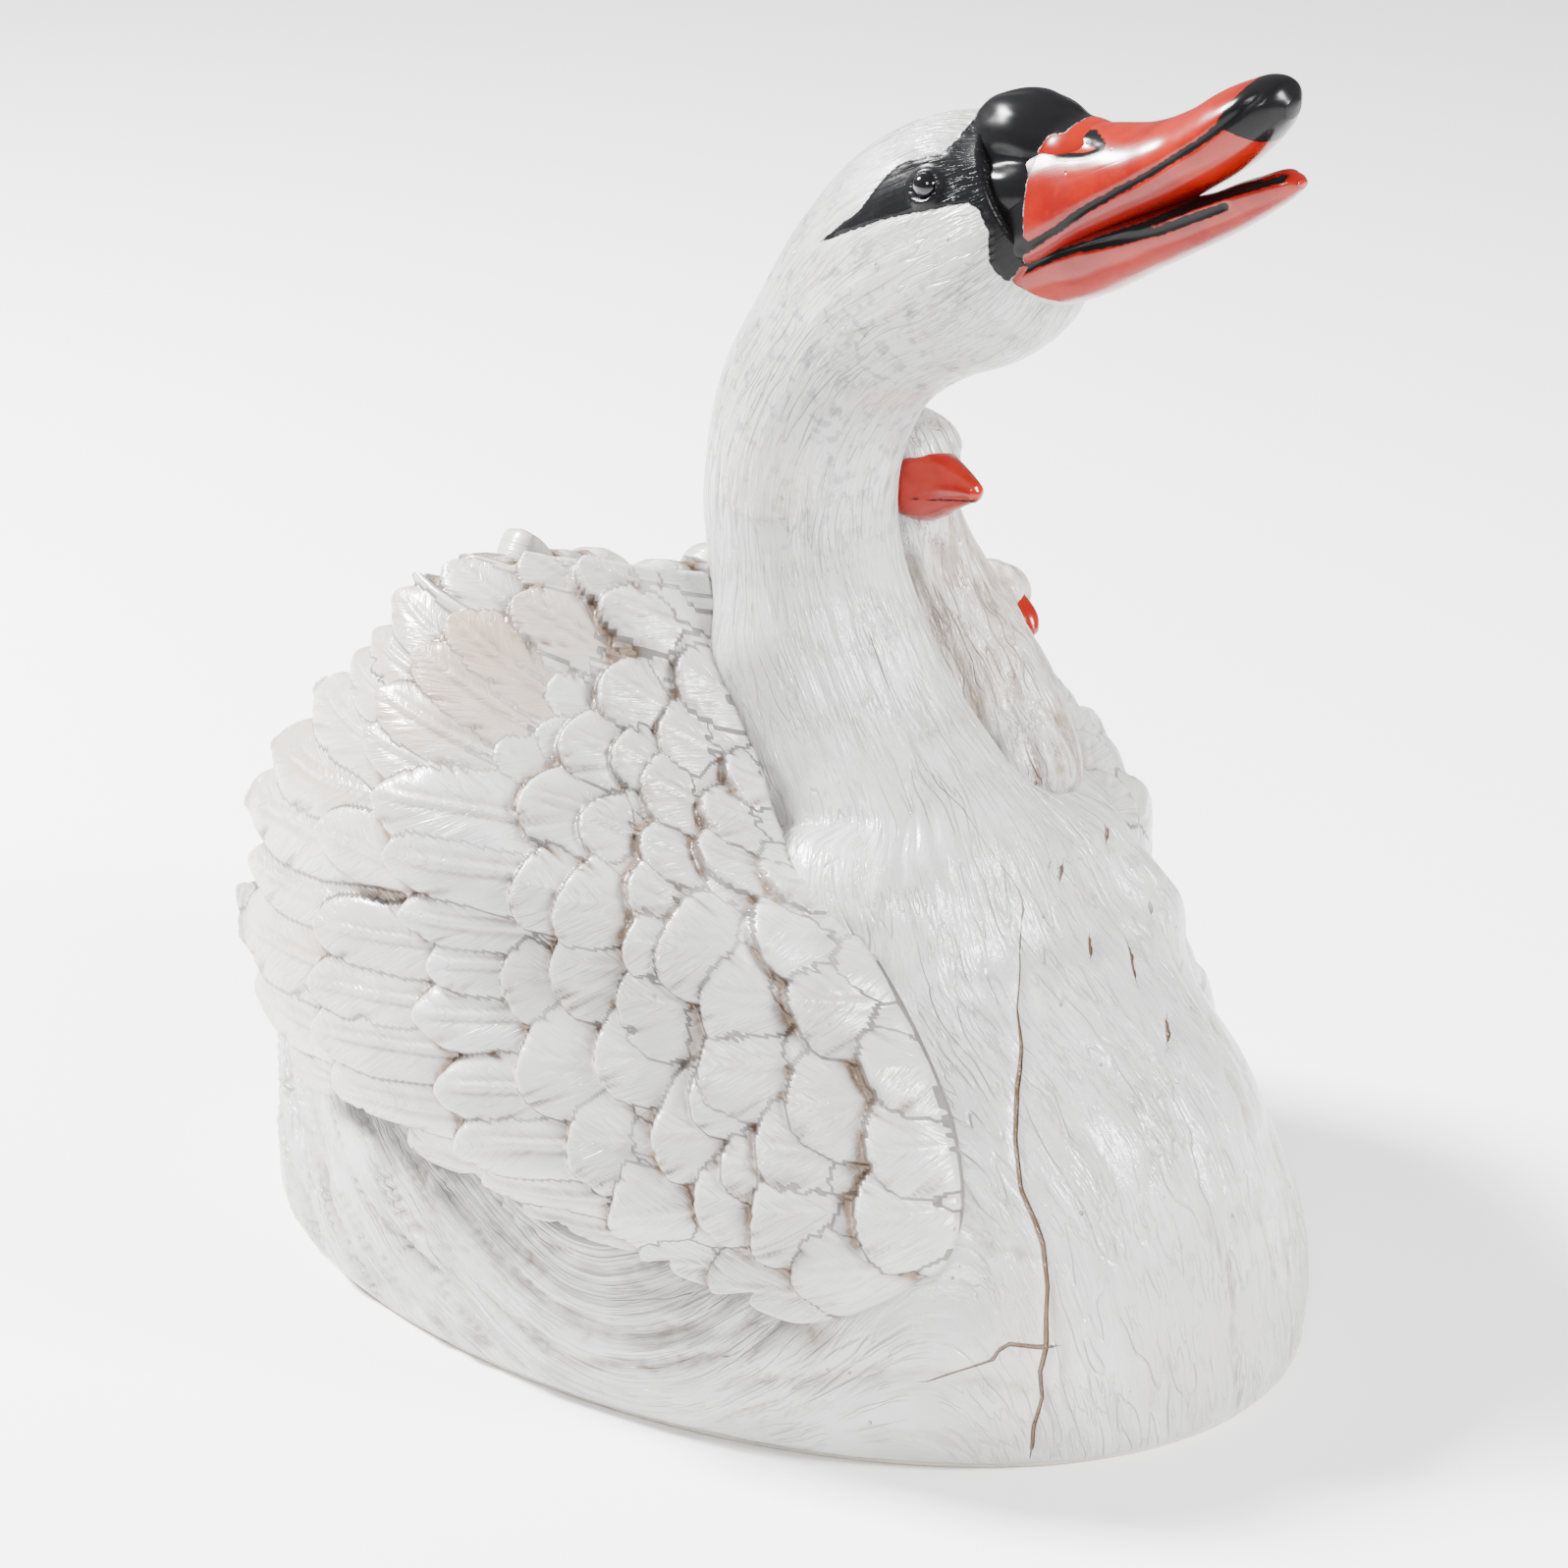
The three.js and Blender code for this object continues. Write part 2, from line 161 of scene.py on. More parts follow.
def noise(p, seed):
    """Smooth uneven field between -1 and 1, with bumps about one unit across."""
    cell = np.floor(p).astype(np.int64)
    f = p - cell
    f = f * f * (3 - 2 * f)
    total = 0
    for corner in np.ndindex(2, 2, 2):
        c = cell + np.array(corner)
        h = c[..., 0] * 374761393 + c[..., 1] * 668265263 + c[..., 2] * 144665111 + seed * 974711
        h = h & 0xFFFFFFFF
        h = ((h ^ (h >> 13)) * 1274126177) & 0xFFFFFFFF
        h = ((h ^ (h >> 15)) * 1103515245) & 0xFFFFFFFF
        weight = np.prod(np.where(np.array(corner) == 1, f, 1 - f), axis=-1)
        total = total + weight * (h / 2147483648 - 1)
    return total


def smooth(low, high, x):
    """Rises smoothly from 0 at low to 1 at high."""
    f = np.clip((x - low) / (high - low), 0, 1)
    return f * f * (3 - 2 * f)


def hump(x):
    """Smooth bell that is 1 at 0 and fades out past 1."""
    return np.exp(-x ** 2)


def away(p, place=0.0):
    """Distance of points from a place."""
    return np.linalg.norm(p - np.asarray(place), axis=-1)


def stack(*parts):
    """Fields put together as the parts of a vector."""
    return np.stack(np.broadcast_arrays(*parts), -1).astype(float)


def normals(face, a, b, step=0.003):
    """Unit normals of a face given by a function of two shares."""
    along = face(a + step, b) - face(a - step, b)
    across = face(a, b + step) - face(a, b - step)
    n = np.cross(along, across)
    return n / np.maximum(np.linalg.norm(n, axis=-1, keepdims=True), 1e-9)


def near(line, x, z):
    """Distance to an open line in the side view."""
    best = np.full(np.shape(x), 1e9)
    for (ax, az), (bx, bz) in zip(line, line[1:]):
        ux, uz = bx - ax, bz - az
        f = np.clip(((x - ax) * ux + (z - az) * uz) / (ux * ux + uz * uz), 0, 1)
        best = np.minimum(best, np.hypot(x - ax - f * ux, z - az - f * uz))
    return best


def inside(outline, x, z):
    """Distance to a closed outline in the side view, positive inside it."""
    closed = outline + outline[:1]
    within = np.zeros(np.shape(x), bool)
    for (ax, az), (bx, bz) in zip(closed, closed[1:]):
        if bz != az:
            within ^= ((az > z) != (bz > z)) & (x < ax + (z - az) * (bx - ax) / (bz - az))
    return np.where(within, 1, -1) * near(closed, x, z)


def beside(line, p, n):
    """Signed distance to a line on a skin, share along it, how surely it is near, and plain distance."""
    line = np.asarray(line, float)
    best = np.full(p.shape[:-1], 1e9)
    signed, share = best.copy(), np.zeros_like(best)
    for k in range(len(line) - 1):
        u = line[k + 1] - line[k]
        f = np.clip(((p - line[k]) @ u) / (u @ u), 0, 1)
        d = p - line[k] - f[..., None] * u
        side = (np.cross(u / np.linalg.norm(u), n) * d).sum(-1)
        over = d @ (u / np.linalg.norm(u))
        flat = np.hypot(side, over)
        far = away(d)
        closer = far < best
        best = np.where(closer, far, best)
        signed = np.where(closer, np.where(side < 0, -1, 1) * flat, signed)
        share = np.where(closer, (k + f) / (len(line) - 1), share)
    return signed, share, smooth(3, 1.5, best), best


def skin(name, points, flow, faces=None, **notes):
    """Mesh of one grid of points or of given faces, its combing as UV map and its notes as attributes."""
    points = np.asarray(points, float)
    if faces is None:
        rows, columns = points.shape[:2]
        faces = grid_faces(np.arange(rows * columns).reshape(rows, columns))
    shape = points.shape[:-1]
    mesh = bpy.data.meshes.new(name)
    mesh.from_pydata(points.reshape(-1, 3) / 1000, [], faces)
    corner = np.empty(len(mesh.loops), np.int32)
    mesh.loops.foreach_get("vertex_index", corner)
    combed = np.broadcast_to(flow, shape + (2,)).reshape(-1, 2)[corner]
    mesh.uv_layers.new(name="combing").data.foreach_set("uv", combed.ravel() / 1000)
    write_notes(mesh, notes, shape)
    piece = bpy.data.objects.new(name, mesh)
    bpy.context.collection.objects.link(piece)
    return piece


def write_notes(mesh, notes, shape):
    """Writes what the paint does at each point down as attributes of a mesh."""
    for key, nothing in note_names.items():
        layer = mesh.attributes.get(key) or mesh.attributes.new(key, "FLOAT", "POINT")
        value = np.broadcast_to(notes.get(key, nothing), shape)
        layer.data.foreach_set("value", value.ravel().astype(np.float32))


def grid_faces(index):
    """Four-sided faces of a grid of point numbers."""
    corners = [index[:-1, :-1], index[:-1, 1:], index[1:, 1:], index[1:, :-1]]
    return np.stack(corners, -1).reshape(-1, 4).tolist()


def blur(field, cells):
    """Mean of a field over a square of cells each way."""
    for axis in (0, 1):
        padding = [(0, 0), (0, 0)]
        padding[axis] = (cells + 1, cells)
        total = np.cumsum(np.pad(field, padding, "edge"), axis=axis)
        count = field.shape[axis]
        upper = np.take(total, np.arange(count) + 2 * cells + 1, axis=axis)
        field = (upper - np.take(total, np.arange(count), axis=axis)) / (2 * cells + 1)
    return field


def choose(*pieces):
    """Selects pieces alone, the first as the active one."""
    bpy.ops.object.select_all(action="DESELECT")
    for piece in pieces:
        piece.select_set(True)
    bpy.context.view_layer.objects.active = pieces[0]


def weld(piece):
    """Closes seams and poles and turns the faces outwards."""
    choose(piece)
    bpy.ops.object.mode_set(mode="EDIT")
    bpy.ops.mesh.select_all(action="SELECT")
    bpy.ops.mesh.remove_doubles(threshold=1e-6)
    bpy.ops.mesh.normals_make_consistent(inside=False)
    bpy.ops.object.mode_set(mode="OBJECT")
    bpy.ops.object.shade_smooth()
    piece.select_set(False)
    return piece


def part_of_swan(piece, material):
    """Paints a piece and states that it is part of the one casting."""
    piece.data.materials.append(material)
    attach(piece, "root")
    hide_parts("swan")


def body_point(u, v):
    """Point of the plain body, u round it from the tail by the right side, v from below to the bill."""
    turn = 2 * math.pi * u - math.pi
    turn = turn - 0.5 * np.sin(turn + math.radians(50))
    row = through(body_stops, (v - underside_share) / (1 - underside_share - root_share))
    shrink = np.clip(v / underside_share, 0, 1) * np.clip((1 - v) / root_share, 0, 1) ** 0.5
    pitch = np.radians(row[..., 2])
    depth = row[..., 3] * shrink * np.cos(turn)
    x = row[..., 0] + depth * np.sin(pitch)
    z = row[..., 1] - depth * np.cos(pitch)
    return stack(x, row[..., 4] * shrink * np.sin(turn), z), turn


def stroke_noise(flow, across, along, seed, waver, p):
    """Uneven field drawn out along the combing."""
    a = flow[..., 0] + waver * noise(p / 15, seed + 50)
    return noise(stack(a / across, flow[..., 1] / along, 0.37), seed)


def face_notes(p):
    """Where the head is black and red, as distances to the edges of the paint."""
    x, z = p[..., 0], p[..., 2]
    return inside(mask_outline, x, z), inside(bill_outline, x, z)


def new_paint(name):
    """A material, its node tree and its shader."""
    material = bpy.data.materials.new(name)
    material.use_nodes = True
    return material, material.node_tree, material.node_tree.nodes["Principled BSDF"]


def paint_resin(name, comb_depth, comb=(900, 95), coat=0.5, by_place=False, lines=1.0):
    """Pearly white, with black, red, pink and cream where the notes say, and brown wash with painted shade in
    the hollows.

    The combed strokes are comb_depth deep, and comb says how many cross and follow a metre of the piece.
    They follow its UV map or its place, and lines says how strongly brown dirt and painted shade show between
    them.
    """
    material, tree, shader = new_paint(name)

    def node(kind, links=(), **values):
        made = tree.nodes.new(kind)
        for key, value in values.items():
            setattr(made, key, value)
        for socket, source in dict(links).items():
            if isinstance(source, bpy.types.NodeSocket):
                tree.links.new(source, made.inputs[socket])
            else:
                made.inputs[socket].default_value = source
        return made

    def note(key):
        return node("ShaderNodeAttribute", attribute_name=key).outputs["Fac"]

    def ramp(value, low, high, to_low=0.0, to_high=1.0, kind="SMOOTHSTEP"):
        links = {"Value": value, "From Min": low, "From Max": high, "To Min": to_low, "To Max": to_high}
        return node("ShaderNodeMapRange", links, interpolation_type=kind).outputs["Result"]

    def math_of(operation, a, b=0.0):
        return node("ShaderNodeMath", {0: a, 1: b}, operation=operation).outputs[0]

    times, plus, less, most = (
        partial(math_of, operation) for operation in ("MULTIPLY", "ADD", "SUBTRACT", "MAXIMUM"))

    def vector_of(operation, a, b):
        return node("ShaderNodeVectorMath", {0: a, 1: b}, operation=operation).outputs[0]

    def blend(share, a, b):
        made = node("ShaderNodeMix", {0: share}, data_type="RGBA")
        for socket, source in ((made.inputs[6], a), (made.inputs[7], b)):
            if isinstance(source, bpy.types.NodeSocket):
                tree.links.new(source, socket)
            else:
                socket.default_value = source
        return made.outputs[2]

    place = node("ShaderNodeTexCoord").outputs["Object"]

    def spots(scale, detail=3.0, roughness=0.55, vector=None):
        links = {"Vector": vector or place, "Scale": scale, "Detail": detail, "Roughness": roughness}
        return node("ShaderNodeTexNoise", links).outputs["Fac"]

    if by_place:
        along = node("ShaderNodeMapping", {"Vector": place, "Rotation": (0, down_lean, 0)}).outputs[0]
    else:
        along = node("ShaderNodeUVMap", uv_map="combing").outputs["UV"]
    # fine strokes and broader locks drawn out along the combing, which wavers by a millimetre
    waver = vector_of("MULTIPLY", vector_of("SUBTRACT", spots(70, 1.0), (0.5, 0.5, 0.5)), (0.0011,) * 3)
    scale = (comb[0], comb[0], comb[1]) if by_place else (comb[0], comb[1], 1.0)
    combing = vector_of("MULTIPLY", vector_of("ADD", along, waver), scale)
    strokes = spots(1.0, 2.5, 0.6, combing)
    locks = spots(1.0, 1.5, 0.5, vector_of("MULTIPLY", combing, (0.36, 0.5, 0.36)))

    # where each paint lies, with edges left uneven by the brush
    black = ramp(plus(note("black"), ramp(spots(900), 0.3, 0.7, -0.12, 0.12)), -0.12, 0.12)
    red = ramp(plus(note("red"), ramp(spots(700), 0.3, 0.7, -0.1, 0.1)), -0.12, 0.12)
    cream = times(note("cream"), ramp(spots(300), 0.3, 0.6, 0.6, 1.0))
    # painted shade together with brown wash in the hollows, patchy and never full
    hollow_wash_and_shade = times(note("wash"), ramp(spots(420, 4.0), 0.25, 0.7, 0.7, 1.5))
    hollow_wash_and_shade = math_of("MINIMUM", hollow_wash_and_shade, 0.95)
    # dark lines between the strokes and between the locks: dirt together with painted shade in their grooves
    off_middle = math_of("ABSOLUTE", less(strokes, 0.5))
    thin_lines = times(ramp(off_middle, 0.028, 0.0), ramp(spots(95), 0.40, 0.62))
    off_middle = math_of("ABSOLUTE", less(locks, 0.5))
    partings = times(ramp(off_middle, 0.03, 0.0), ramp(spots(60), 0.38, 0.6))
    grooves = most(thin_lines, times(partings, 0.6))
    broken = most(*(times(ramp(math_of("ABSOLUTE", note(line)), 1.35, 0.6), note(line + "_near"))
                    for line in ("crack", "branch")))

    pits = node("ShaderNodeTexVoronoi", {"Vector": place, "Scale": 150.0}).outputs["Distance"]
    pits = times(ramp(pits, 0.075, 0.03), ramp(spots(60), 0.5, 0.6))
    white = blend(ramp(spots(45), 0.3, 0.7), aged_white, clean_white)
    for share, shade in (
        (times(ramp(spots(26, 4.0), 0.5, 0.75), 0.3), dusty_white),
        (times(grooves, 0.42 * lines), groove_dirt_and_shade_brown),
        (note("tan"), feather_tan),
        (times(times(note("mottle"), ramp(spots(330, 2.0, 0.5), 0.54, 0.68)), 0.75), mottle_grey),
        (times(pits, 0.6), pit_brown),
        (hollow_wash_and_shade, wash_brown),
        (cream, bare_cream),
        (times(note("pink"), 0.8), throat_pink),
    ):
        white = blend(share, white, shade)
    reds = blend(ramp(spots(90, 4.0), 0.35, 0.7), deep_red, bright_red)
    reds = blend(times(ramp(spots(500, 2.0), 0.55, 0.75), 0.3), reds, thin_red)
    reds = blend(note("mouth"), reds, mouth_red)
    colour = blend(red, white, reds)
    colour = blend(black, colour, mask_black)
    colour = blend(broken, colour, broken_brown)
    tree.links.new(colour, shader.inputs["Base Color"])

    painted = most(black, red)
    rough = plus(ramp(spots(130, 4.0), 0.3, 0.7, 0.27, 0.44), times(hollow_wash_and_shade, 0.3))
    rough = times(rough, ramp(painted, 0, 1, 1.0, 0.62))
    tree.links.new(rough, shader.inputs["Roughness"])
    # the red and black paints are duller than the pearly white
    gloss = most(less(1.0, plus(times(red, 0.45), times(black, 0.8))), 0.2)
    tree.links.new(times(gloss, coat), shader.inputs["Coat Weight"])
    tree.links.new(times(gloss, 0.5), shader.inputs["Specular IOR Level"])
    shader.inputs["Coat Roughness"].default_value = 0.16

    relief = plus(times(strokes, 0.9), times(locks, 1.6))
    relief = less(relief, plus(times(thin_lines, 0.3 * lines), times(partings, 0.6 * lines)))
    relief = times(relief, ramp(most(painted, note("cream")), 0, 1, 1.0, 0.1))
    relief = plus(relief, times(spots(1400, 2.0), ramp(painted, 0, 1, 0.12, 0.03)))
    relief = less(relief, plus(pits, times(broken, 3.0)))
    bump = node("ShaderNodeBump", {"Height": relief, "Strength": 1.0, "Distance": comb_depth / 1000})
    tree.links.new(bump.outputs["Normal"], shader.inputs["Normal"])
    tree.links.new(bump.outputs["Normal"], shader.inputs["Coat Normal"])
    return material


# the body is shaped where the wings meet it, so the wings' plain sheet comes first, and its places
# across are shares of the body's half width
half_width = 78
wing_fan = np.array([
    # front point, tip point, swell outwards, arch up, how much further forward the left wing starts
    [68, -0.859 * half_width, 28, -78, -0.80 * half_width, 37, 13, 9, -8],
    [89, -0.641 * half_width, 45, -80, -0.85 * half_width, 62, 28, 3, -17],
    [85, -0.551 * half_width, 62, -81, -0.85 * half_width, 83, 29, 0, -17],
    [71, -0.487 * half_width, 80, -79, -0.79 * half_width, 102, 30, 0, -8],
    [54, -0.449 * half_width, 96, -67, -0.73 * half_width, 121, 32, 0, 8],
    [31, -0.385 * half_width, 107, -57, -0.69 * half_width, 134, 27, 3, 16],
    [17, -0.3 * half_width, 122, -48, -0.68 * half_width, 147, 16, 2, 7],
    [-3, -0.19 * half_width, 150, -36, -0.56 * half_width, 155, 4, 1, 2],
])
left_rim_drop = 17


def wing_sheet(s, t, left):
    """Plain wing on the right side: s from its front edge to the tips, t from flank to rim."""
    row, u = np.clip(t, 0, 1), np.clip(s, 0, 1)
    camber = np.maximum(4 * u * (1 - u), 1e-6) ** (0.55 + 0.45 * u)
    start, end = through(wing_fan[:, 0:3], row), through(wing_fan[:, 3:6], row)
    swell = through(wing_fan[:, [8, 6, 7]], row)
    p = start + (end - start) * s[..., None]
    p[..., 0] += left * swell[..., 0] * (1 - s)
    p[..., 1] -= swell[..., 1] * camber
    p[..., 2] += swell[..., 2] * camber - left * left_rim_drop * row ** 3
    return p


share = np.linspace(0, 1, 60)
wing_edges = []
for is_left in (0, 1):
    front_edge = wing_sheet(0 * share + 0.02, share * 0.8, is_left)
    flank_edge = wing_sheet(share * 0.97, 0 * share, is_left)
    for edge in (front_edge, flank_edge):
        wing_edges.append(edge * (1, -1 if is_left else 1, 1))

v, u = grid(body_rows, body_columns)
plain, turn = body_point(u, v)
outward = normals(lambda a, b: body_point(a, b)[0], u, v)
outward[0] = outward[1] = (0, 0, -1)

# the combing runs up the body and leans over on the flanks; broad locks and fine strands follow it
length = np.cumsum(away(np.diff(plain[:, 120], axis=0, prepend=plain[:1, 120])))
slant = -0.55 * np.sin(turn) * smooth(0.6, 1.5, np.abs(turn)) * smooth(90, 50, plain[..., 2])
girth = np.interp(length, [30, 220], [80, 24])[:, None]
combing = stack(turn * girth + slant * length[:, None], length[:, None])
x, y, z = plain[..., 0], plain[..., 1], plain[..., 2]
black, red = face_notes(plain)
on_head = smooth(-6, 0, np.maximum(black, red))
downy = (1 - on_head) * (0.3 + 0.7 * smooth(150, 95, z)) * smooth(0.5, 6, z)
locks = stroke_noise(combing, 7.5, 34, 1, 4, plain)
strands = stroke_noise(combing, 3.4, 19, 2, 4, plain)
relief = 0.9 * locks + 0.35 * strands
relief -= 0.8 * hump(locks / 0.13) + 0.4 * hump(strands / 0.2)
relief = downy * relief * (0.8 + 1.1 * smooth(70, 40, z) * smooth(0.5, 1.3, np.abs(turn)))
relief = relief * smooth(0, 0.012, u) * smooth(1, 0.988, u)
relief += 0.5 * noise(plain / 22, 9) * smooth(3, 20, z) * (1 - on_head)

# grey-brown wash with painted shade in the hollows of the relief, patchy, and less on the front of the breast
wash = 0.7 * smooth(0.1, 0.45, blur(relief, 2) - relief) * (0.5 + 0.5 * noise(plain / 9, 13))
wash *= 1 - 0.7 * smooth(0, 1.2, 1.2 - np.abs(turn)) * smooth(30, 60, z)
# the shoulders swell out to carry the wings, and wash with painted shade darkens the groove round each wing
for shoulder, swell, breadth in ((left_shoulder, 10, 12), (right_shoulder, 8.2, 13)):
    relief += swell * hump(beside(shoulder, plain, outward)[3] / breadth)
for edge in wing_edges:
    gap = np.min([away(plain, point) for point in edge], axis=0)
    relief -= 1.1 * hump(gap / 2.6)
    wash = np.maximum(wash, hump(gap / 3.6) * (0.6 + 0.5 * noise(plain / 6, 12)))

# the crack opens downwards from a raised crease up the neck; the slits share the branch's notes
crack, at, crack_near, _ = beside(crack_line, plain, outward)
width = 0.04 + 0.06 * smooth(0.22, 0.3, at) + 0.3 * smooth(0.36, 0.55, at) - 0.1 * smooth(0.8, 1, at)
width = width + 0.04 * np.sin(40 * at)
relief -= 0.9 * hump(crack / 0.9) * smooth(0.3, 0.5, at)
relief += 0.5 * hump((crack + 2) / 2.5) * smooth(0.4, 0.25, at) * (1 - 0.9 * on_head)
crack = crack / width
branch, at, branch_near, _ = beside(crack_branch, plain, outward)
branch = branch / (0.4 - 0.28 * at)
ragged = 0.8 + 0.5 * noise(plain / 1.6, 14)
for top, foot in breast_slits:
    slit, at, slit_near, gap = beside([top, foot], plain, outward)
    relief -= 0.8 * hump(gap / 1.3)
    branch = np.where(slit_near > branch_near, slit / ((0.1 + 1.5 * at * (1 - at)) * ragged), branch)
    branch_near = np.maximum(branch_near, slit_near * smooth(1.6, 1.1, gap))

# eyelid, brow and the edge of the mask
eye_gap = away(stack(x, np.abs(y), z), eye_middle)
relief += 0.9 * hump((eye_gap - 3.1) / 0.8) - 0.8 * hump(eye_gap / 2.1)
brow = np.hypot((x - 50) / 7, (z - 242.5) / 2.4)
relief += 0.9 * hump(brow) - 0.35 * hump(black / 0.6) * (black < 0.3)

# bare cream along the underside and in a worn patch of the neck, a stain by the crack, grey mottling
rim = smooth(1.9, 1.1, z + 0.35 * noise(plain / 5, 4)) * (z > -0.1)
patch = away((plain - (13.5, -16, 176)) / (9, 9, 9.5))
stain = away((plain - (101, -42, 24)) / (9, 9, 20))
patch = patch + 0.3 * noise(plain / 6, 6) + 0.1 * noise(plain / 2, 7)
patch = smooth(1.15, 0.95, patch) * smooth(186, 172, z)
relief += 0.35 * patch
cream = np.maximum(rim, 0.5 * patch)
cream = np.maximum(cream, 0.4 * smooth(1.2, 0.4, stain))
throat = away((plain - (39, -10, 192)) / (7, 9, 4))
mottle = smooth(60, 20, away(plain, (24, -16, 200))) * (1 - on_head)
body = weld(skin(
    "body_and_neck", plain + outward * relief[..., None], combing, black=black, red=red, crack=crack,
    crack_near=crack_near, branch=branch, branch_near=branch_near,
    wash=wash * (1 - rim), cream=cream, pink=0.5 * smooth(1.2, 0.4, throat), mottle=mottle))
part_of_swan(body, paint_resin("combed_white_paint", comb_depth=0.75, lines=0.7))

# Wings
# Each wing is a thin curved sheet with its feathers modelled in low relief: rounded scales on the
# shoulder, glossy coverts, and long flight feathers that fan out to the scalloped edge. All is cast in
# one with the body, and brown wash with painted shade lies between the feathers.
wall_at_shoulder, wall_at_rim = 9, 4.5
fine_rows, fine_columns, coarse_step = 286, 238, 3
base_look = dict(low=0.0, high=1.5, dome=0.7, bevel=1.5, lip=1.1, blunt=0.35, shaft=0, barbs=2, tilt=0.1)
flight_look = dict(low=-0.6, high=1.1, dome=1.2, bevel=1.3, lip=1.4, blunt=0.7, shaft=0.9, barbs=6, tilt=0.9)
inner_look = dict(low=0.0, high=3.1, dome=1.0, bevel=1.0, lip=1.5, blunt=0.66, shaft=1.0, barbs=4, tilt=0.7)
covert_look = dict(low=0.6, high=4.2, dome=1.6, bevel=1.5, lip=1.7, blunt=0.5, shaft=1.0, barbs=7, tilt=0.9)
scale_look = dict(low=-1.2, high=3.9, dome=1.0, bevel=1.1, lip=1.3, blunt=0.5, shaft=0.4, barbs=7, tilt=0.7)
lined_look = dict(scale_look, shaft=0.8)
flights = [
    # root s and t, tip s and t, width, tan
    (0.50, 0.14, 0.94, 0.03, 16, 0.1), (0.50, 0.23, 1.00, 0.11, 18, 0.2), (0.50, 0.36, 1.02, 0.21, 20, 0.4),
    (0.50, 0.47, 0.99, 0.30, 15, 0.15), (0.48, 0.66, 1.01, 0.46, 19, 0.35),
    (0.50, 0.57, 1.02, 0.375, 18, 0.05), (0.42, 0.78, 0.98, 0.68, 16, 0.15),
    (0.45, 0.72, 1.02, 0.58, 19, 0.1), (0.40, 0.84, 0.99, 0.84, 17, 0.15),
    (0.38, 0.81, 0.97, 0.76, 14, 0.3), (0.32, 0.90, 0.97, 0.95, 18, 0.1), (0.15, 0.95, 0.76, 0.995, 16, 0.15),
]
inner_feathers = [
    (0.35, 0.10, 0.64, 0.02, 15, 0.1), (0.45, 0.19, 0.77, 0.09, 15, 0.1), (0.47, 0.29, 0.79, 0.17, 15, 0.15),
    (0.50, 0.35, 0.79, 0.25, 15, 0.1), (0.50, 0.43, 0.78, 0.34, 15, 0.1), (0.40, 0.56, 0.80, 0.47, 14, 0.1),
    (0.32, 0.73, 0.79, 0.73, 15, 0.35), (0.30, 0.785, 0.77, 0.81, 14, 0.6),
    (0.28, 0.83, 0.76, 0.875, 14, 0.7), (0.18, 0.90, 0.63, 0.94, 15, 0.4),
    (0.06, 0.97, 0.50, 0.99, 14, 0.1), (0.36, 0.69, 0.78, 0.655, 14, 0.1),
]
coverts = [
    (0.22, 0.05, 0.42, 0.015, 13, 0.2), (0.28, 0.13, 0.50, 0.06, 14, 0.1), (0.32, 0.21, 0.54, 0.13, 15, 0.0),
    (0.35, 0.29, 0.57, 0.215, 16, 0.0), (0.39, 0.38, 0.60, 0.30, 17, 0.0), (0.38, 0.45, 0.57, 0.39, 15, 0.0),
    (0.36, 0.51, 0.61, 0.455, 14, 0.0), (0.34, 0.59, 0.645, 0.53, 17, 0.0),
    (0.33, 0.67, 0.69, 0.605, 19, 0.0), (0.04, 0.945, 0.37, 0.955, 14, 0.05),
]
scales = [
    # middle s and t, size
    (0.18, 0.04, 15), (0.08, 0.04, 15), (0.06, 0.11, 15), (0.20, 0.17, 13), (0.27, 0.13, 17),
    (0.13, 0.18, 16), (0.34, 0.21, 16), (0.24, 0.27, 16), (0.18, 0.24, 12), (0.13, 0.27, 16),
    (0.04, 0.20, 16), (0.03, 0.29, 16), (0.38, 0.32, 20), (0.29, 0.36, 17), (0.25, 0.43, 16),
    (0.16, 0.38, 19), (0.20, 0.32, 14), (0.08, 0.35, 19), (0.40, 0.43, 15), (0.31, 0.48, 18),
    (0.16, 0.54, 17), (0.14, 0.47, 16), (0.05, 0.47, 17), (0.05, 0.57, 16), (0.22, 0.53, 13),
    (0.02, 0.39, 15), (0.36, 0.57, 14), (0.29, 0.57, 15), (0.20, 0.60, 12), (0.07, 0.67, 14),
    (0.02, 0.64, 13), (0.24, 0.685, 12), (0.15, 0.67, 13), (0.32, 0.70, 15), (0.13, 0.755, 13),
    (0.05, 0.74, 12), (0.02, 0.80, 10), (0.18, 0.79, 13), (0.10, 0.84, 13), (0.27, 0.80, 14),
    (0.21, 0.875, 14), (0.06, 0.90, 12),
]


def wing_face(is_left, inner=False):
    """Face of a wing as a function of s, t and the height above it."""
    def sheet(s, t):
        return wing_sheet(np.clip(s, 0.004, 0.996), t, is_left)

    def face(s, t, lift=0.0):
        side = (1, -1 if is_left else 1, 1)
        out = normals(sheet, s, np.clip(t, 0.02, 0.98), 0.015)
        out = np.where(out[..., 1:2] > 0, -out, out)
        p = wing_sheet(np.maximum(s, 0.002), t, is_left)
        if inner:
            wall = wall_at_shoulder + (wall_at_rim - wall_at_shoulder) * np.maximum(s, t) ** 2
            p = p + stack(0, wall - 1, 0)
            out = -out
        return (p + out * np.asarray(lift)[..., None]) * side
    return face


def slopes(face, s, t):
    """How far a face runs for each unit of s and of t."""
    s, t, step = np.array([s]), np.array([t]), 0.01
    return ((face(s + step, t) - face(s - step, t))[0] / (2 * step),
            (face(s, t + step) - face(s, t - step))[0] / (2 * step))


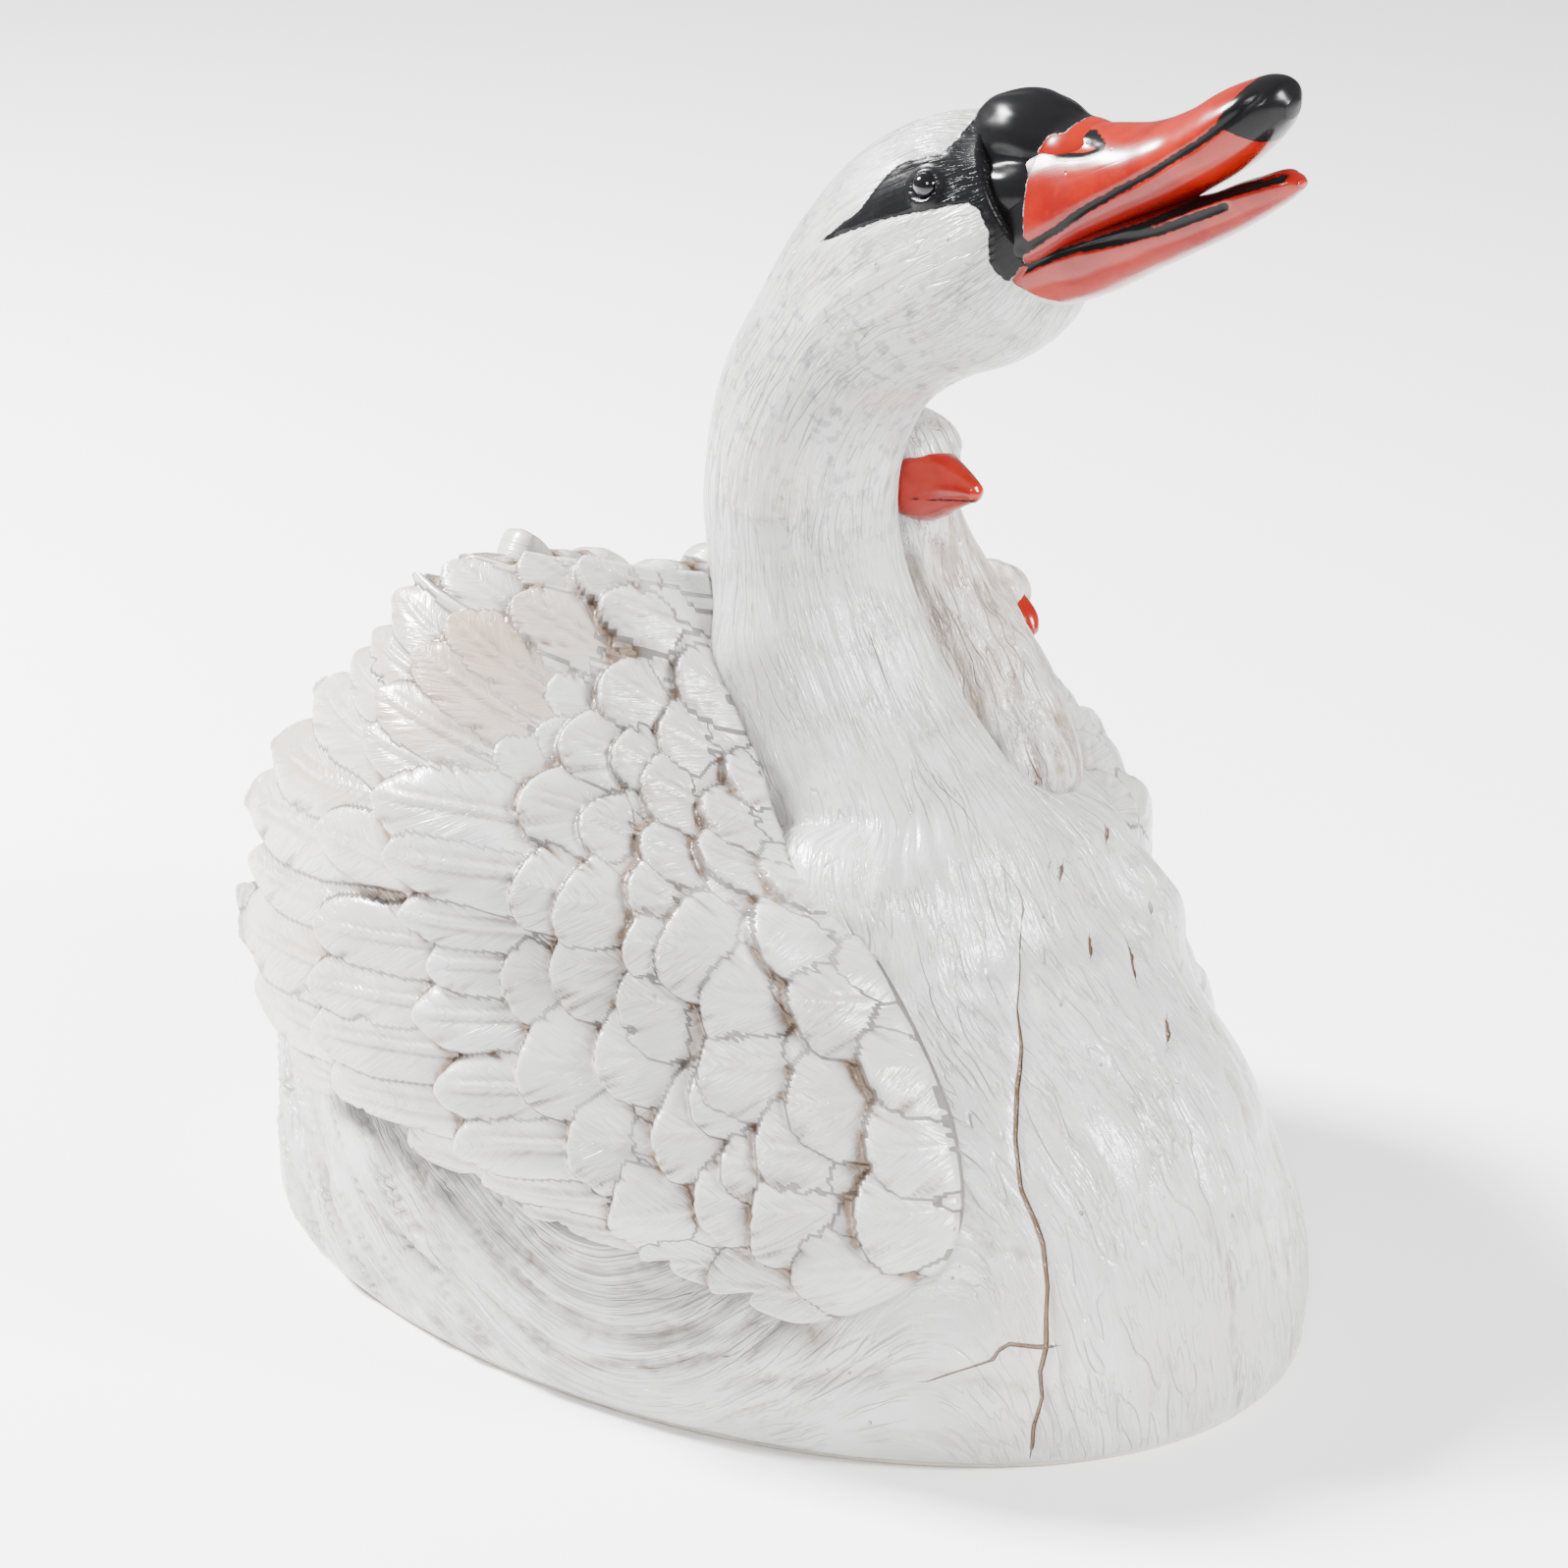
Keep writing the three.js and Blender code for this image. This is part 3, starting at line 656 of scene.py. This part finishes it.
def lay(face, plan, s, t, seed):
    """Relief of feathers on a face at s and t: height, combing, wash and painted shade in slits, tan, and
    where they lie.
    """
    height = np.full(s.shape, -0.6)
    flow = stack(s * 150, t * 110)
    slits, tan, bare = 0 * s, 0 * s + 0.2, np.ones(s.shape, bool)
    for k, ((s0, t0, s1, t1, width, own_tan), look) in enumerate(plan):
        draws = np.random.default_rng(seed + k)
        per_s, per_t = slopes(face, (s0 + s1) / 2, (t0 + t1) / 2)
        axis = per_s * (s1 - s0) + per_t * (t1 - t0)
        reach = np.linalg.norm(axis)
        axis = axis / reach
        side = per_t - axis * (per_t @ axis)
        side = side / np.linalg.norm(side)
        # x along the feather from its root and y across it, both in millimetres
        x = (s - s0) * (per_s @ axis) + (t - t0) * (per_t @ axis)
        y = (s - s0) * (per_s @ side) + (t - t0) * (per_t @ side)
        near_by = (x > -2) & (x < reach + 2) & (np.abs(y) < width)
        x, y = x[near_by], y[near_by]
        a = x / reach
        y = y - draws.uniform(-0.1, 0.1) * width * a * a
        # its outline narrows at root and tip and is a little ragged
        narrow = np.clip((a - look["blunt"]) / (1 - look["blunt"]), 0, 1) ** 2.2
        narrow = narrow + np.clip(1 - a / 0.2, 0, 1) ** 2.2
        half = width / 2 * np.sqrt(np.maximum(1 - narrow, 0)) * (0.85 + 0.15 * smooth(0, 0.4, a))
        half = half * (1 + 0.13 * noise(stack(a * 5, np.sign(y), 3.1 * k), seed + 1))
        edge = np.minimum(half - np.abs(y), np.minimum(a, 1 - a) * reach)
        # its surface rises to the tip, with a dome, a rounded lip, a shaft and slits between its barbs
        b = y / np.maximum(half, 0.1)
        h = look["low"] + (look["high"] - look["low"]) * a - look["tilt"] * b
        h = h + look["dome"] * (1 - b * b) * smooth(0, 0.6, a)
        h = h - look["lip"] * (1 - np.sqrt(1 - (1 - np.clip(edge / look["bevel"], 0, 1)) ** 2))
        h = h + 0.2 * noise(stack(x / 7, y / 5, 7.7 * k), seed + 2) + draws.uniform(-0.3, 0.3)
        fade = look["shaft"] * smooth(1, 0.75, a) * smooth(0, 0.1, a)
        groove = hump((np.abs(y) - 1.2) / 0.45) * fade
        h = h + 0.4 * fade * hump(y / 0.7) - 0.5 * groove
        slit = 0.5 * groove * (0.5 + 0.5 * noise(stack(x / 6, 0, k), seed + 3))
        for _ in range(look["barbs"]):
            lean = math.radians(draws.uniform(24, 38))
            start, which = draws.uniform(0.1, 0.85) * reach, draws.choice((-1, 1))
            off = (x - start) * math.sin(lean) - np.abs(y) * math.cos(lean)
            cut = hump(off / 0.42) * smooth(draws.uniform(0.1, 0.6), 0.8, b * which)
            cut = cut * draws.uniform(0.4, 1)
            h = h - 0.8 * cut
            slit = np.maximum(slit, cut)
        # the combing runs out from the shaft on both sides
        out = np.abs(y)
        lean = math.radians(32)
        across = out * math.cos(lean) - x * math.sin(lean) + 29 * k
        combed = stack(across, x * math.cos(lean) + out * math.sin(lean))
        # it shows where it lies over the feathers before it
        top = (edge > 0) & (h > height[near_by])
        place = np.flatnonzero(near_by)[top]
        height.flat[place] = h[top]
        flow.reshape(-1, 2)[place] = combed[top]
        slits.flat[place] = slit[top]
        tan.flat[place] = own_tan
        bare.flat[place] = False
    return height, flow, slits, tan, ~bare


def gathered_wash_and_shade(height, slits, p, seed):
    """Brown wash with painted shade in the gaps of a relief."""
    patchy = 0.7 + 0.5 * noise(p / 9, seed) + 0.3 * noise(p / 2.2, seed + 1)
    gaps = 1.1 * smooth(0.12, 0.7, blur(height, 2) - height)
    gaps = gaps + 0.7 * smooth(0.2, 1.3, blur(height, 7) - height)
    return np.clip((gaps + slits) * patchy, 0, 1)


def cobble(face, s, t, size):
    """Root, tip, width and tan of a rounded scale with its middle at s and t."""
    half = size / np.linalg.norm(slopes(face, s, t)[0]) / 2
    lean = 0.8 * (t - 0.74) * half
    return s - 1.9 * half, t - 1.6 * lean, s + 1.25 * half, t + lean, size * 1.36, 0.05


def eased(reach):
    """Outline of feather tips without its sharpest steps."""
    for _ in range(2):
        reach = np.convolve(np.pad(reach, 2, "edge"), np.ones(5) / 5, "valid")
    return reach


def closed_sheet(name, outer, inner, notes, step=coarse_step):
    """Closed skin of a fine outer grid and a coarser inner one that hangs on its border."""
    rows, columns = outer.shape[:2]
    fine = np.arange(rows * columns).reshape(rows, columns)
    coarse = fine[::step, ::step].copy()
    count = inner[1:-1, 1:-1, 0].size
    coarse[1:-1, 1:-1] = rows * columns + np.arange(count).reshape(coarse.shape[0] - 2, -1)
    faces = grid_faces(fine) + grid_faces(coarse[1:-1, 1:-1])
    last_i, last_j = coarse.shape[0] - 2, coarse.shape[1] - 2
    for i in range(last_i + 1):
        for j in range(last_j + 1) if i in (0, last_i) else (0, last_j):
            ring = [(i, j), (i, j + 1), (i + 1, j + 1), (i + 1, j)]
            face = []
            for (ai, aj), (bi, bj) in zip(ring, ring[1:] + ring[:1]):
                face.append(int(coarse[ai, aj]))
                if (ai == bi and ai in (0, last_i + 1)) or (aj == bj and aj in (0, last_j + 1)):
                    between = [(ai * step + (bi - ai) * k, aj * step + (bj - aj) * k) for k in range(1, step)]
                    face.extend(int(fine[point]) for point in between)
            faces.append(face)
    both = {key: np.concatenate([np.broadcast_to(on_outer, (rows, columns)).ravel(),
                                 np.broadcast_to(on_inner, inner.shape[:2])[1:-1, 1:-1].ravel()])
            for key, (on_outer, on_inner) in notes.items()}
    points = np.concatenate([outer.reshape(-1, 3), inner[1:-1, 1:-1].reshape(-1, 3)])
    flow = stack(both.pop("across"), both.pop("along"))
    return skin(name, points, flow, faces, **both)


feather_paint = paint_resin("feather_paint", comb=(1000, 110), comb_depth=0.34, lines=0.45)
for name, is_left in (("right_wing", 0), ("left_wing", 1)):
    face, lining = wing_face(is_left), wing_face(is_left, inner=True)
    rng = np.random.default_rng(7 + is_left)
    plan = []
    for row in range(8):
        for column in range(14):
            s = 0.01 + 0.068 * row + rng.uniform(-0.012, 0.012)
            t = (column + 0.5 * (row % 2) + rng.uniform(-0.12, 0.12)) / 13.5
            plan.append((cobble(face, s, min(t, 0.995), 15 - 5 * t), base_look))
    plan += [(feather, flight_look) for feather in flights]
    edge_s, edge_t = grid(140, fine_columns, 0.84, 1.07)
    covered = lay(face, plan, edge_s, edge_t, 100)[-1]
    reach = eased(np.minimum(np.where(covered, edge_s, 0.84).max(0), 1.025))
    plan += [(feather, inner_look) for feather in inner_feathers]
    plan += [(feather, covert_look) for feather in coverts]
    plan += [(cobble(face, s, t, size), lined_look if t > 0.58 else scale_look) for s, t, size in scales]
    # the sheet ends where the feathers do, and the flank is notched
    share, t = grid(fine_rows, fine_columns)
    s = share + (reach - 1) * smooth(0.65, 1, share)
    notch = (1 - np.abs(np.sin(math.pi * (8.3 * s + 0.3 * np.sin(9 * s))))) ** 2
    t = t + 0.03 * notch * smooth(0.1, 0, t)
    height, flow, slits, tan, _ = lay(face, plan, s, t, 100)
    height = (height + blur(height, 1)) / 2
    outer = face(s, t, height)
    # brown wash and painted shade in the gaps between the feathers and in their slits
    wash = np.maximum(1.35 * blur(gathered_wash_and_shade(height, 0, outer, 200 + is_left), 1), 0.9 * slits)
    tan = np.clip(tan + 0.3 * smooth(0.45, 0.8, s) * (0.6 + 0.6 * noise(outer / 18, 260)), 0, 1)
    border = np.ones(s.shape, bool)
    border[1:-1, 1:-1] = False
    outer[border] = face(s, t, 0 * s - 0.7)[border]

    # the lining is coarser and plainer, with a few ridges
    s2, t2 = s[::coarse_step, ::coarse_step], t[::coarse_step, ::coarse_step]
    ridge = lay(lining, [(feather, inner_look) for feather in flights], s2, t2, 300)[0]
    i, j = np.indices(s2.shape)
    from_edge = np.minimum(np.minimum(i, s2.shape[0] - 1 - i), np.minimum(j, s2.shape[1] - 1 - j))
    filled = (0.3 + 0.7 * np.sqrt(1 - (1 - np.clip(from_edge / 5, 0, 1)) ** 2))[..., None]
    plain = face(s2, t2, 0 * s2)
    inner = plain + (lining(s2, t2, ridge * 0.8) - plain) * filled
    # the lining carries some wash and painted shade all over, and more between its ridges
    wing = closed_sheet(name, outer, inner, dict(
        across=(flow[..., 0], s2 * 150), along=(flow[..., 1], t2 * 110),
        wash=(wash, 0.15 + 0.25 * smooth(0.1, 0.5, blur(ridge, 2) - ridge)), tan=(tan, 0.3)))
    part_of_swan(weld(wing), feather_paint)

# Bill, knob and eyes
# The bill stands open. It is part of the casting, painted glossy red over the white, with black brush
# lines along its edges, a black nail and nostrils. The knob over its root and the eyes are glossy black.
upper_stops = [
    # x, ridge, edge and keel heights, half width
    [62, 246, 229, 219, 12.6], [72, 249.5, 229, 222, 14], [81, 250.8, 235, 229, 13.2],
    [90, 252.5, 241, 234.5, 11.8], [99, 256.3, 246.6, 239.5, 10.8], [108, 262, 253.5, 245.2, 10],
    [114.5, 264.6, 259, 250.4, 8.6], [118.6, 264.4, 260.6, 255, 6], [120.8, 261.6, 260.2, 258, 2.4],
]
lower_stops = [
    [60, 226, 219, 207, 13.5], [71, 228.5, 224.5, 214, 12.6], [82, 233, 229.8, 219, 10.8],
    [93, 237.4, 234.6, 225.6, 9], [104, 242, 239.6, 232, 7.4], [114, 246.6, 244.2, 238.2, 6],
    [120.5, 249, 247, 243, 4.2], [123.4, 247.6, 247, 245.8, 1.6],
]
# black brush lines and a nostril in the side view, as x and z
upper_line = [
    (72.4, 228.4), (79, 233), (85.5, 238.2), (97.3, 246.1), (107.9, 253.6), (114.6, 259.5), (117, 262.5),
]
lower_line = [(70.6, 223.6), (77.9, 228.1), (91.5, 234.1), (105, 241.4), (113, 245), (121, 248)]
second_line = [(84.1, 230.4), (91, 232.6), (98.8, 235.6), (111.3, 241.8)]
nostril = [(71.9, 246.6), (75.6, 248.4), (81, 249.2), (84.8, 248.4), (82, 247), (77, 246)]
bill_tip = (118, 0, 263)


def bill_half(stops, v, u):
    """Half of the bill: v along it, u round it from the right edge over the top."""
    row = through(stops, v)
    turn = 2 * math.pi * u
    rise = np.where(np.sin(turn) > 0, row[..., 1] - row[..., 2], row[..., 2] - row[..., 3])
    return stack(row[..., 0], row[..., 4] * np.cos(turn), row[..., 2] + rise * np.sin(turn))


v, u = np.meshgrid(np.sin(np.linspace(0, math.pi / 2, 130)), np.linspace(0, 1, 120), indexing="ij")
bill_paint = paint_resin("glossy_bill_paint", comb=(500, 50), comb_depth=0.12, coat=0.4)
for name, stops, lines in (
    ("upper_bill", upper_stops, [upper_line]),
    ("lower_bill", lower_stops, [lower_line, second_line]),
):
    plain = bill_half(stops, v, u)
    outward = normals(lambda a, b: bill_half(stops, a, b), np.clip(v, 0.01, 0.99), u)
    from_middle = plain - plain.mean(1, keepdims=True)
    outward = np.where((outward * from_middle).sum(-1, keepdims=True) < 0, -outward, outward)
    x, z = plain[..., 0], plain[..., 2]
    black, red = face_notes(plain)
    brush = 0.85 + 0.25 * noise(plain / 6, 71)
    groove = 0
    for line in lines:
        gap = near(line, x, z)
        black = np.maximum(black, brush - gap)
        groove = groove + 0.5 * hump(gap / 0.9)
    relief = 0.12 * noise(plain / 5, 72) - groove
    if name == "upper_bill":
        black = np.maximum(black, np.minimum(x - 113.6 + 0.5 * (263 - z), z - 257 + 0.6 * (x - 112)))
        hole = inside(nostril, x, z)
        black = np.maximum(black, 0.75 - np.abs(hole + 0.3))
        relief = relief - 0.7 * smooth(-0.4, 1.0, hole)
        relief = relief + 0.5 * smooth(6, 2, away(plain, bill_tip))
        mouth = smooth(0.2, 0.9, -outward[..., 2]) * smooth(106, 96, x)
    else:
        mouth = smooth(0.3, 0.9, outward[..., 2]) * smooth(122, 112, x)
    points = plain + outward * relief[..., None]
    points, black, red, mouth, x, around = (
        np.pad(field, ((1, 1), (0, 0), (0, 0))[:field.ndim], "edge")
        for field in (points, black, red, mouth, x, u * 70))
    for end in (0, -1):
        points[end] = points[end].mean(0)
    bill = skin(name, points, stack(around, x), black=black, red=red, mouth=mouth)
    part_of_swan(weld(bill), bill_paint)


def egg(centre, halves, columns=64, rows=40):
    """Points of a closed egg."""
    v, u = grid(rows, columns)
    v, u = math.pi * v, 2 * math.pi * u
    return np.array(centre) + stack(np.sin(v) * np.cos(u), np.sin(v) * np.sin(u), np.cos(v)) * halves


def moulded(name, forms, voxel, rounds):
    """Overlapping closed forms made into one soft skin; its points and outward directions in millimetres."""
    pieces = [weld(skin(name, form, (0, 0))) for form in forms]
    choose(*pieces)
    whole = pieces[0]
    bpy.ops.object.join()
    remesh = whole.modifiers.new("one skin", "REMESH")
    remesh.mode = "VOXEL"
    remesh.voxel_size = voxel / 1000
    bpy.ops.object.modifier_apply(modifier="one skin")
    soften = whole.modifiers.new("soften", "SMOOTH")
    soften.factor = 0.6
    soften.iterations = rounds
    bpy.ops.object.modifier_apply(modifier="soften")
    at = np.empty(len(whole.data.vertices) * 3)
    out = at.copy()
    whole.data.vertices.foreach_get("co", at)
    whole.data.vertex_normals.foreach_get("vector", out)
    return whole, at.reshape(-1, 3) * 1000, out.reshape(-1, 3)


def finish_moulded(piece, points, notes):
    """Moves the points of a soft skin and writes down its notes."""
    piece.data.vertices.foreach_set("co", (points / 1000).ravel())
    write_notes(piece.data, notes, len(points))
    choose(piece)
    bpy.ops.object.shade_smooth()


knob, points, out = moulded("knob", [
    egg((64.5, 0, 245.6), (12.5, 9.6, 8.6), rows=48),
    egg((58, 0, 240.5), (11, 10.5, 8.6), rows=48),
    egg((76, 0, 244.8), (10.5, 8.6, 6), rows=48),
    egg((67, 0, 237), (14, 13.4, 8), rows=48),
], 0.6, 24)
brushed = 0.25 + 0.4 * noise(points / 5, 81) + 0.25 * noise(points / (6, 2, 2), 82)
points = points + out * brushed[:, None]
black, red = face_notes(points)
finish_moulded(knob, points, dict(black=black, red=red))
part_of_swan(knob, bill_paint)

eye_paint, eye_nodes, eye_shader = new_paint("glossy_eye_black")
eye_spots = eye_nodes.nodes.new("ShaderNodeTexNoise")
eye_spots.inputs["Scale"].default_value = 900
eye_tone = eye_nodes.nodes.new("ShaderNodeMapRange")
eye_tone.inputs["To Min"].default_value = 0.05
eye_tone.inputs["To Max"].default_value = 0.16
eye_nodes.links.new(eye_spots.outputs["Fac"], eye_tone.inputs["Value"])
eye_nodes.links.new(eye_tone.outputs["Result"], eye_shader.inputs["Roughness"])
eye_shader.inputs["Base Color"].default_value = (0.004, 0.004, 0.005, 1)
eye_shader.inputs["Specular IOR Level"].default_value = 0.3
eye_shader.inputs["Coat Weight"].default_value = 0.4
for side, name in ((-1, "right_eye"), (1, "left_eye")):
    points = egg((51.6, side * 15.9, 237.4), (2.6, 2.3, 2.4), 48, 32)
    eye = skin(name, points, points[..., [0, 2]])
    part_of_swan(weld(eye), eye_paint)

# Back, tail and the feathers between the wings
# The swan's back runs down into her short tail under three or four rows of feathers. Broad feathers
# stand between the wing tips and close the nest. Behind the wings the relief is plainer.
back_stops = [
    # middle x, y and z, half width, half depth
    [-6, 3, 82, 39, 18], [-34, 3, 80, 44.5, 24], [-60, 2, 77, 44.5, 26], [-84, 1, 68, 36, 22],
    [-104, 0, 61, 27, 14], [-120, 0, 58, 17, 7], [-130, 0, 57.5, 8, 2.5],
]
# the screen of rear feathers: its sides as y, its foot and its top in the middle and at the sides as z
screen_right, screen_left = -38.2, 46
screen_foot, screen_peak, screen_shoulders = 74, 140, 129


def back_face(s, t, lift=0.0):
    """Back and tail: s from the nest to the tail's tip, t across the top from right to left."""
    row = through(back_stops, s)
    turn = math.pi * (1.08 - 1.16 * t)
    shrink = np.sqrt(np.clip(s * 25, 0, 1) * np.clip((1 - s) * 40, 0, 1))
    depth = row[..., 4] * shrink + np.asarray(lift)
    width = row[..., 3] * shrink + np.asarray(lift)
    return stack(row[..., 0], row[..., 1] + width * np.cos(turn), row[..., 2] + depth * np.sin(turn))


def screen_face(front):
    """Front or rear face of the rear feathers: s from foot to top, t from right to left."""
    def face(s, t, lift=0.0):
        y = screen_right + (screen_left - screen_right) * t
        top = screen_peak + (screen_shoulders - screen_peak) * np.clip(np.abs(y) / 30, 0, 1) ** 0.8
        x = -50 - 18 * np.sqrt(np.clip(s, 0, 1)) + 8 * (y / 30) ** 2
        x = x + np.asarray(lift) + 3 if front else x - np.asarray(lift)
        return stack(x, y, screen_foot + (top - screen_foot) * s)
    return face


plan = []
for row in range(7):
    tip = 0.28 + 0.1 * row
    for column in range(9):
        t = 0.06 + (column + 0.5 * (row % 2)) * 0.105
        plan.append(((tip - 0.2, t, tip, 0.5 + 0.96 * (t - 0.5), 14 - 4 * tip, 0.1), base_look))
for column in range(7):
    t = 0.2 + 0.1 * column
    plan.append(((0.7, 0.5 + 0.7 * (t - 0.5), 0.995, t, 9, 0.15), inner_look))
v, u = grid(190, 190)
t = (1.58 - 2 * u) / 1.16
height, flow, slits, tan, _ = lay(back_face, plan, v, t, 400)
height = (height + 0.6) * smooth(0, 0.06, v) * smooth(1, 0.985, v)
height = height * smooth(-0.05, 0.03, t) * smooth(1.05, 0.97, t)
points = back_face(v, t, height)
# brown wash and painted shade between the feathers of the back and tail
back = weld(skin("back_and_tail", points, flow, wash=gathered_wash_and_shade(height, slits, points, 410), tan=tan))
part_of_swan(back, feather_paint)

plan = [((0.02, t + 0.11, 0.97 + 0.04 * (k % 2), t, 20, 0.1), flight_look)
        for k, t in enumerate(np.linspace(0.05, 0.95, 8))]
s, t = grid(80, 110, 0.8, 1.04)
reach = eased(np.where(lay(screen_face(True), plan, s, t, 420)[-1], s, 0.86).max(0))
plan += [((0.0, t + 0.14, 0.7 + 0.05 * (k % 2), t + 0.03, 16, 0.25), inner_look)
         for k, t in enumerate(np.linspace(0.02, 0.9, 8))]
share, t = grid(110, 110)
s = share + (reach - 1) * smooth(0.6, 1, share)
sides = []
for front in (True, False):
    height, flow, slits, tan, _ = lay(screen_face(front), plan, s, t, 420)
    points = screen_face(front)(s, t, height)
    sides.append((points, flow, gathered_wash_and_shade(height, slits, points, 430), tan))
(outer, flow, wash, tan), (inner, flow_2, wash_2, tan_2) = sides
middle = (outer + inner) / 2
outer[0], outer[-1], outer[:, 0], outer[:, -1] = middle[0], middle[-1], middle[:, 0], middle[:, -1]
# brown wash and painted shade lie between the rear feathers on both faces
screen = closed_sheet("rear_feathers", outer, inner, dict(
    across=(flow[..., 0], flow_2[..., 0]), along=(flow[..., 1], flow_2[..., 1]),
    wash=(wash, wash_2), tan=(tan, tan_2)), 1)
part_of_swan(weld(screen), feather_paint)

# Cygnets
# Two cygnets ride between the wings. They are part of the casting: soft rounded bodies combed with
# wavy strokes of down, with blunt red bills and small dark eyes.


def limb(stops, columns=40, rows=60):
    """Tapering limb along a smooth line: each stop is x, y, z, half width, half depth."""
    v, u = grid(rows, columns)
    u = 2 * math.pi * u
    row = through(stops, v)
    along = through(stops, np.clip(v + 0.01, 0, 1)) - through(stops, np.clip(v - 0.01, 0, 1))
    side = np.cross((0, 0, 1), along[..., :3])
    side /= np.linalg.norm(side, axis=-1, keepdims=True)
    over = np.cross(along[..., :3], side)
    over /= np.linalg.norm(over, axis=-1, keepdims=True)
    shrink = np.sqrt(np.clip(v * 12, 0, 1)) * np.sqrt(np.clip((1 - v) * 12, 0, 1))
    width, depth = (row[..., 3] * shrink)[..., None], (row[..., 4] * shrink)[..., None]
    return row[..., :3] + side * width * np.cos(u)[..., None] + over * depth * np.sin(u)[..., None]


cygnet_forms = [
    # the nearer cygnet: its body, its neck, one smooth line from its neck down to its breast, and its head
    egg((15, 39, 104), (26.4, 19.6, 24)),
    limb([[20, 38, 112, 18, 18], [23, 33, 128, 13.5, 13.5], [20.5, 25.5, 146, 10, 10],
          [19.5, 21.5, 160, 8.6, 8.6], [20, 21, 169, 7, 7]]),
    limb([[20, 21, 169, 7, 7], [19.5, 21.5, 160, 8.6, 8.6], [21, 25, 147, 10.2, 10.2],
          [26, 27, 134, 12.8, 12.8], [34, 27, 122.5, 13.6, 13.6], [42, 25.5, 113.5, 12.8, 12.8],
          [49, 23, 107, 11, 11], [54, 20, 102.5, 8, 8]], rows=90),
    egg((20.5, 21, 170), (10, 8.5, 9.6), 48, 32),
    # the second cygnet: its body, neck and head
    egg((-4, 12, 112), (24, 30, 27)),
    limb([[6, 36, 112, 15, 15], [16, 43, 122, 9.5, 9.5], [22, 46, 133, 6.4, 6.4]]),
    egg((21.5, 45, 133.8), (8, 8, 7.8), 48, 32),
]
cygnet_eyes = [(28.5, 12.6, 172.6), (29.3, 25.5, 170.3), (25.5, 38.4, 136), (29, 46.5, 134.4)]
chin_spot = (25, 13.5, 164.5)
cygnets, at, out = moulded("cygnets", cygnet_forms, 0.9, 20)
bend = 1.2 * noise(at / 16, 92)
across = at[:, 0] * math.cos(down_lean) + at[:, 2] * math.sin(down_lean)
along = at[:, 2] * math.cos(down_lean) - at[:, 0] * math.sin(down_lean)
waves = noise(stack(across / 2 + bend, at[:, 1] / 2 + bend, along / 14), 91)
relief = 0.55 * waves + 0.12 * noise(at / 5, 93)
from_eye = np.min([away(at, eye) for eye in cygnet_eyes], axis=0)
relief -= hump(from_eye / 1.6)
# wash with painted shade in the troughs of the down, and more of it towards the bottom
finish_moulded(cygnets, at + out * relief[:, None], dict(
    wash=np.clip(0.4 * smooth(0, -0.4, waves) + 0.35 * smooth(135, 100, at[:, 2]), 0, 1),
    tan=np.maximum(0.4 * smooth(0.4, -0.4, noise(at / 14, 95)), smooth(3.4, 2, away(at, chin_spot))),
    black=1.2 - from_eye))
down_paint = paint_resin("cygnet_down_paint", comb=(800, 110), comb_depth=0.7, by_place=True)
part_of_swan(cygnets, down_paint)

first_bill_stops = [
    [18, 20.5, 165.4, 8, 8.2], [26, 18.6, 166, 7.6, 7.8], [33, 17, 167, 5, 5], [38, 16, 167.4, 2.8, 2.8],
    [41, 15.4, 167.2, 1.5, 1.4],
]
second_bill_stops = [[25, 45.5, 133.2, 4, 4], [30.6, 44.4, 130.6, 3.1, 3.1], [33.4, 43.4, 128.6, 1.3, 1.3]]
for name, stops in (("first_cygnet_bill", first_bill_stops), ("second_cygnet_bill", second_bill_stops)):
    points = limb(stops, 60, 60)
    x, z = points[..., 0], points[..., 2]
    # a fine dark line between the halves; it lies at the height of the first bill, so the second has none
    mouth_line = 164.6 + 0.12 * (x - 27)
    little_bill = skin(name, points, stack(x, z), black=0.16 - np.abs(z - mouth_line), red=9)
    part_of_swan(weld(little_bill), bill_paint)

# Floor, lights and camera
# A plain pale table under a soft light from high on the left, weaker ones from the front and the
# right, and a dim pale room. The camera stands where the photograph was taken.
bpy.ops.mesh.primitive_plane_add(size=8)
floor = bpy.context.object
floor.name = "floor"
floor_paint, _, floor_shader = new_paint("pale_table")
floor_shader.inputs["Base Color"].default_value = (0.93, 0.93, 0.93, 1)
floor_shader.inputs["Roughness"].default_value = 0.8
floor.data.materials.append(floor_paint)

room = bpy.data.worlds.new("room")
bpy.context.scene.world = room
room.use_nodes = True
room.node_tree.nodes["Background"].inputs["Color"].default_value = (1, 1, 1, 1)
room.node_tree.nodes["Background"].inputs["Strength"].default_value = 0.3

target = (0.0044, 0.0, 0.1022)


def aim(thing):
    """Turns a light or camera towards the swan."""
    thing.rotation_euler = (Vector(target) - thing.location).to_track_quat("-Z", "Y").to_euler()


for name, place, size, power in (
    # place and size in metres, power in watts
    ("high_left_light", (-0.85, -0.3, 0.95), 0.28, 110),
    ("front_light", (0.9, -1.2, 1.2), 0.5, 24),
    ("right_light", (1.2, 0.3, 0.8), 0.35, 52),
):
    lamp = bpy.data.lights.new(name, "AREA")
    lamp.size = size
    lamp.energy = power
    lamp_object = bpy.data.objects.new(name, lamp)
    bpy.context.collection.objects.link(lamp_object)
    lamp_object.location = place
    aim(lamp_object)

camera = bpy.data.cameras.new("camera")
camera.sensor_width = 36
camera.lens = 114.3
camera_object = bpy.data.objects.new("camera", camera)
bpy.context.collection.objects.link(camera_object)
azimuth, elevation, distance = math.radians(40), math.radians(22), 1.0
camera_object.location = (
    target[0] + distance * math.sin(azimuth) * math.cos(elevation),
    target[1] - distance * math.cos(azimuth) * math.cos(elevation),
    target[2] + distance * math.sin(elevation),
)
aim(camera_object)
bpy.context.scene.camera = camera_object
